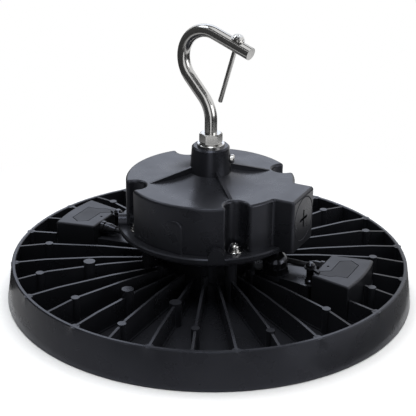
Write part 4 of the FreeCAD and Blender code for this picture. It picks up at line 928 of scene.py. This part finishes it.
@dataclass
class Studio:
    """Camera, pale floor, plain soft lamps, flags and a white surround."""

    place: tuple[float, float, float] = (0.39499, -0.78815, 0.44569)
    aim: tuple[float, float, float] = (0.01882, -0.04109, 0.090)
    roll: float = 0.592
    lens: float = 102.64
    sensor: float = 36.0
    clip: tuple[float, float] = (0.05, 50.0)
    fill: float = 0.3
    floor_half: float = 6.0
    floor_level: float = -0.0002
    paper: tuple[float, float] = (0.86, 0.88)
    paper_scale: float = 400.0
    paper_rough: float = 0.9
    paper_specular: float = 0.1
    fade: tuple[float, float] = (0.175, 0.34)

    def camera(self) -> None:
        """Create the camera and aim it."""
        data = bpy.data.cameras.new("Camera")
        data.lens, data.sensor_width = self.lens, self.sensor
        data.clip_start, data.clip_end = self.clip
        camera = stand("Camera", data)
        forward = Vector(self.aim) - Vector(self.place)
        turned = forward.to_track_quat("-Z", "Y").to_matrix() @ Matrix.Rotation(
            math.radians(self.roll), 3, "Z")
        camera.matrix_world = Matrix.Translation(self.place) @ turned.to_4x4()
        bpy.context.scene.camera = camera

    def backdrop_factor(self, tree: bpy.types.NodeTree) -> bpy.types.NodeSocket:
        """Return 1 for camera, glossy and transmission rays and 0 for the rest.

        Args:
            tree: the node tree that gets the nodes.

        Returns:
            The factor's socket.
        """
        path = tree.nodes.new("ShaderNodeLightPath")
        total = path.outputs["Is Camera Ray"]
        for name in ("Is Glossy Ray", "Is Transmission Ray"):
            larger = tree.nodes.new("ShaderNodeMath")
            larger.operation = "MAXIMUM"
            tree.links.new(total, larger.inputs[0])
            tree.links.new(path.outputs[name], larger.inputs[1])
            total = larger.outputs[0]
        return total

    def world(self) -> None:
        """White surround for what is seen, and a plain grey fill for what is lit."""
        world = bpy.data.worlds.new("Surround")
        bpy.context.scene.world = world
        world.use_nodes = True
        tree = world.node_tree
        fill = tree.nodes["Background"]
        fill.inputs["Color"].default_value = (1, 1, 1, 1)
        fill.inputs["Strength"].default_value = self.fill
        white = tree.nodes.new("ShaderNodeBackground")
        white.inputs["Color"].default_value = (1, 1, 1, 1)
        mix = tree.nodes.new("ShaderNodeMixShader")
        tree.links.new(self.backdrop_factor(tree), mix.inputs["Fac"])
        tree.links.new(fill.outputs[0], mix.inputs[1])
        tree.links.new(white.outputs[0], mix.inputs[2])
        tree.links.new(mix.outputs[0], tree.nodes["World Output"].inputs["Surface"])

    def floor(self) -> None:
        """Pale floor just under the rim that fades into the white surround."""
        half, level = self.floor_half, self.floor_level
        mesh = bpy.data.meshes.new("studio_floor")
        mesh.from_pydata([(-half, -half, level), (half, -half, level), (half, half, level),
                          (-half, half, level)], [], [(0, 1, 2, 3)])
        floor = stand("studio_floor", mesh)
        bench = Bench("Pale floor")
        tree = bench.tree
        low, high = ((shade,) * 3 for shade in self.paper)
        bench.link(bench.blend(bench.noise(self.paper_scale), low, high),
                   bench.shader.inputs["Base Color"])
        bench.shade(Roughness=self.paper_rough, Specular_IOR_Level=self.paper_specular)
        length = tree.nodes.new("ShaderNodeVectorMath")
        length.operation = "LENGTH"
        bench.link(bench.where, length.inputs[0])
        fade = tree.nodes.new("ShaderNodeMapRange")
        fade.interpolation_type = "SMOOTHSTEP"
        fade.inputs["From Min"].default_value = self.fade[0]
        fade.inputs["From Max"].default_value = self.fade[1]
        bench.link(length.outputs["Value"], fade.inputs["Value"])
        seen = tree.nodes.new("ShaderNodeMath")
        seen.operation = "MULTIPLY"
        bench.link(fade.outputs["Result"], seen.inputs[0])
        bench.link(self.backdrop_factor(tree), seen.inputs[1])
        glow = tree.nodes.new("ShaderNodeEmission")
        glow.inputs["Color"].default_value = (1, 1, 1, 1)
        mix = tree.nodes.new("ShaderNodeMixShader")
        bench.link(seen.outputs[0], mix.inputs["Fac"])
        bench.link(bench.shader.outputs[0], mix.inputs[1])
        bench.link(glow.outputs[0], mix.inputs[2])
        bench.link(mix.outputs[0], tree.nodes["Material Output"].inputs["Surface"])
        mesh.materials.append(bench.material)

    def build(self) -> None:
        """Set the whole studio up."""
        bpy.context.scene.view_settings.view_transform = "Standard"
        self.camera()
        self.world()
        self.floor()
        for piece in (*FLAGS, *LAMPS):
            piece.hang()


# ---------------------------------------------------------------- making


def main() -> None:
    """Build and dress every sub-assembly in order."""
    logging.basicConfig(level=logging.INFO, format="%(name)s: %(message)s")
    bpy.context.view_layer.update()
    wardrobe = Wardrobe()
    wardrobe.dress_frame()
    Casting(wardrobe).build()
    CoverFasteners(wardrobe).build()
    PlugGapShade(wardrobe).build()
    RaisedPad(wardrobe).build()
    Studio().build()


if __name__ == "__main__":
    main()
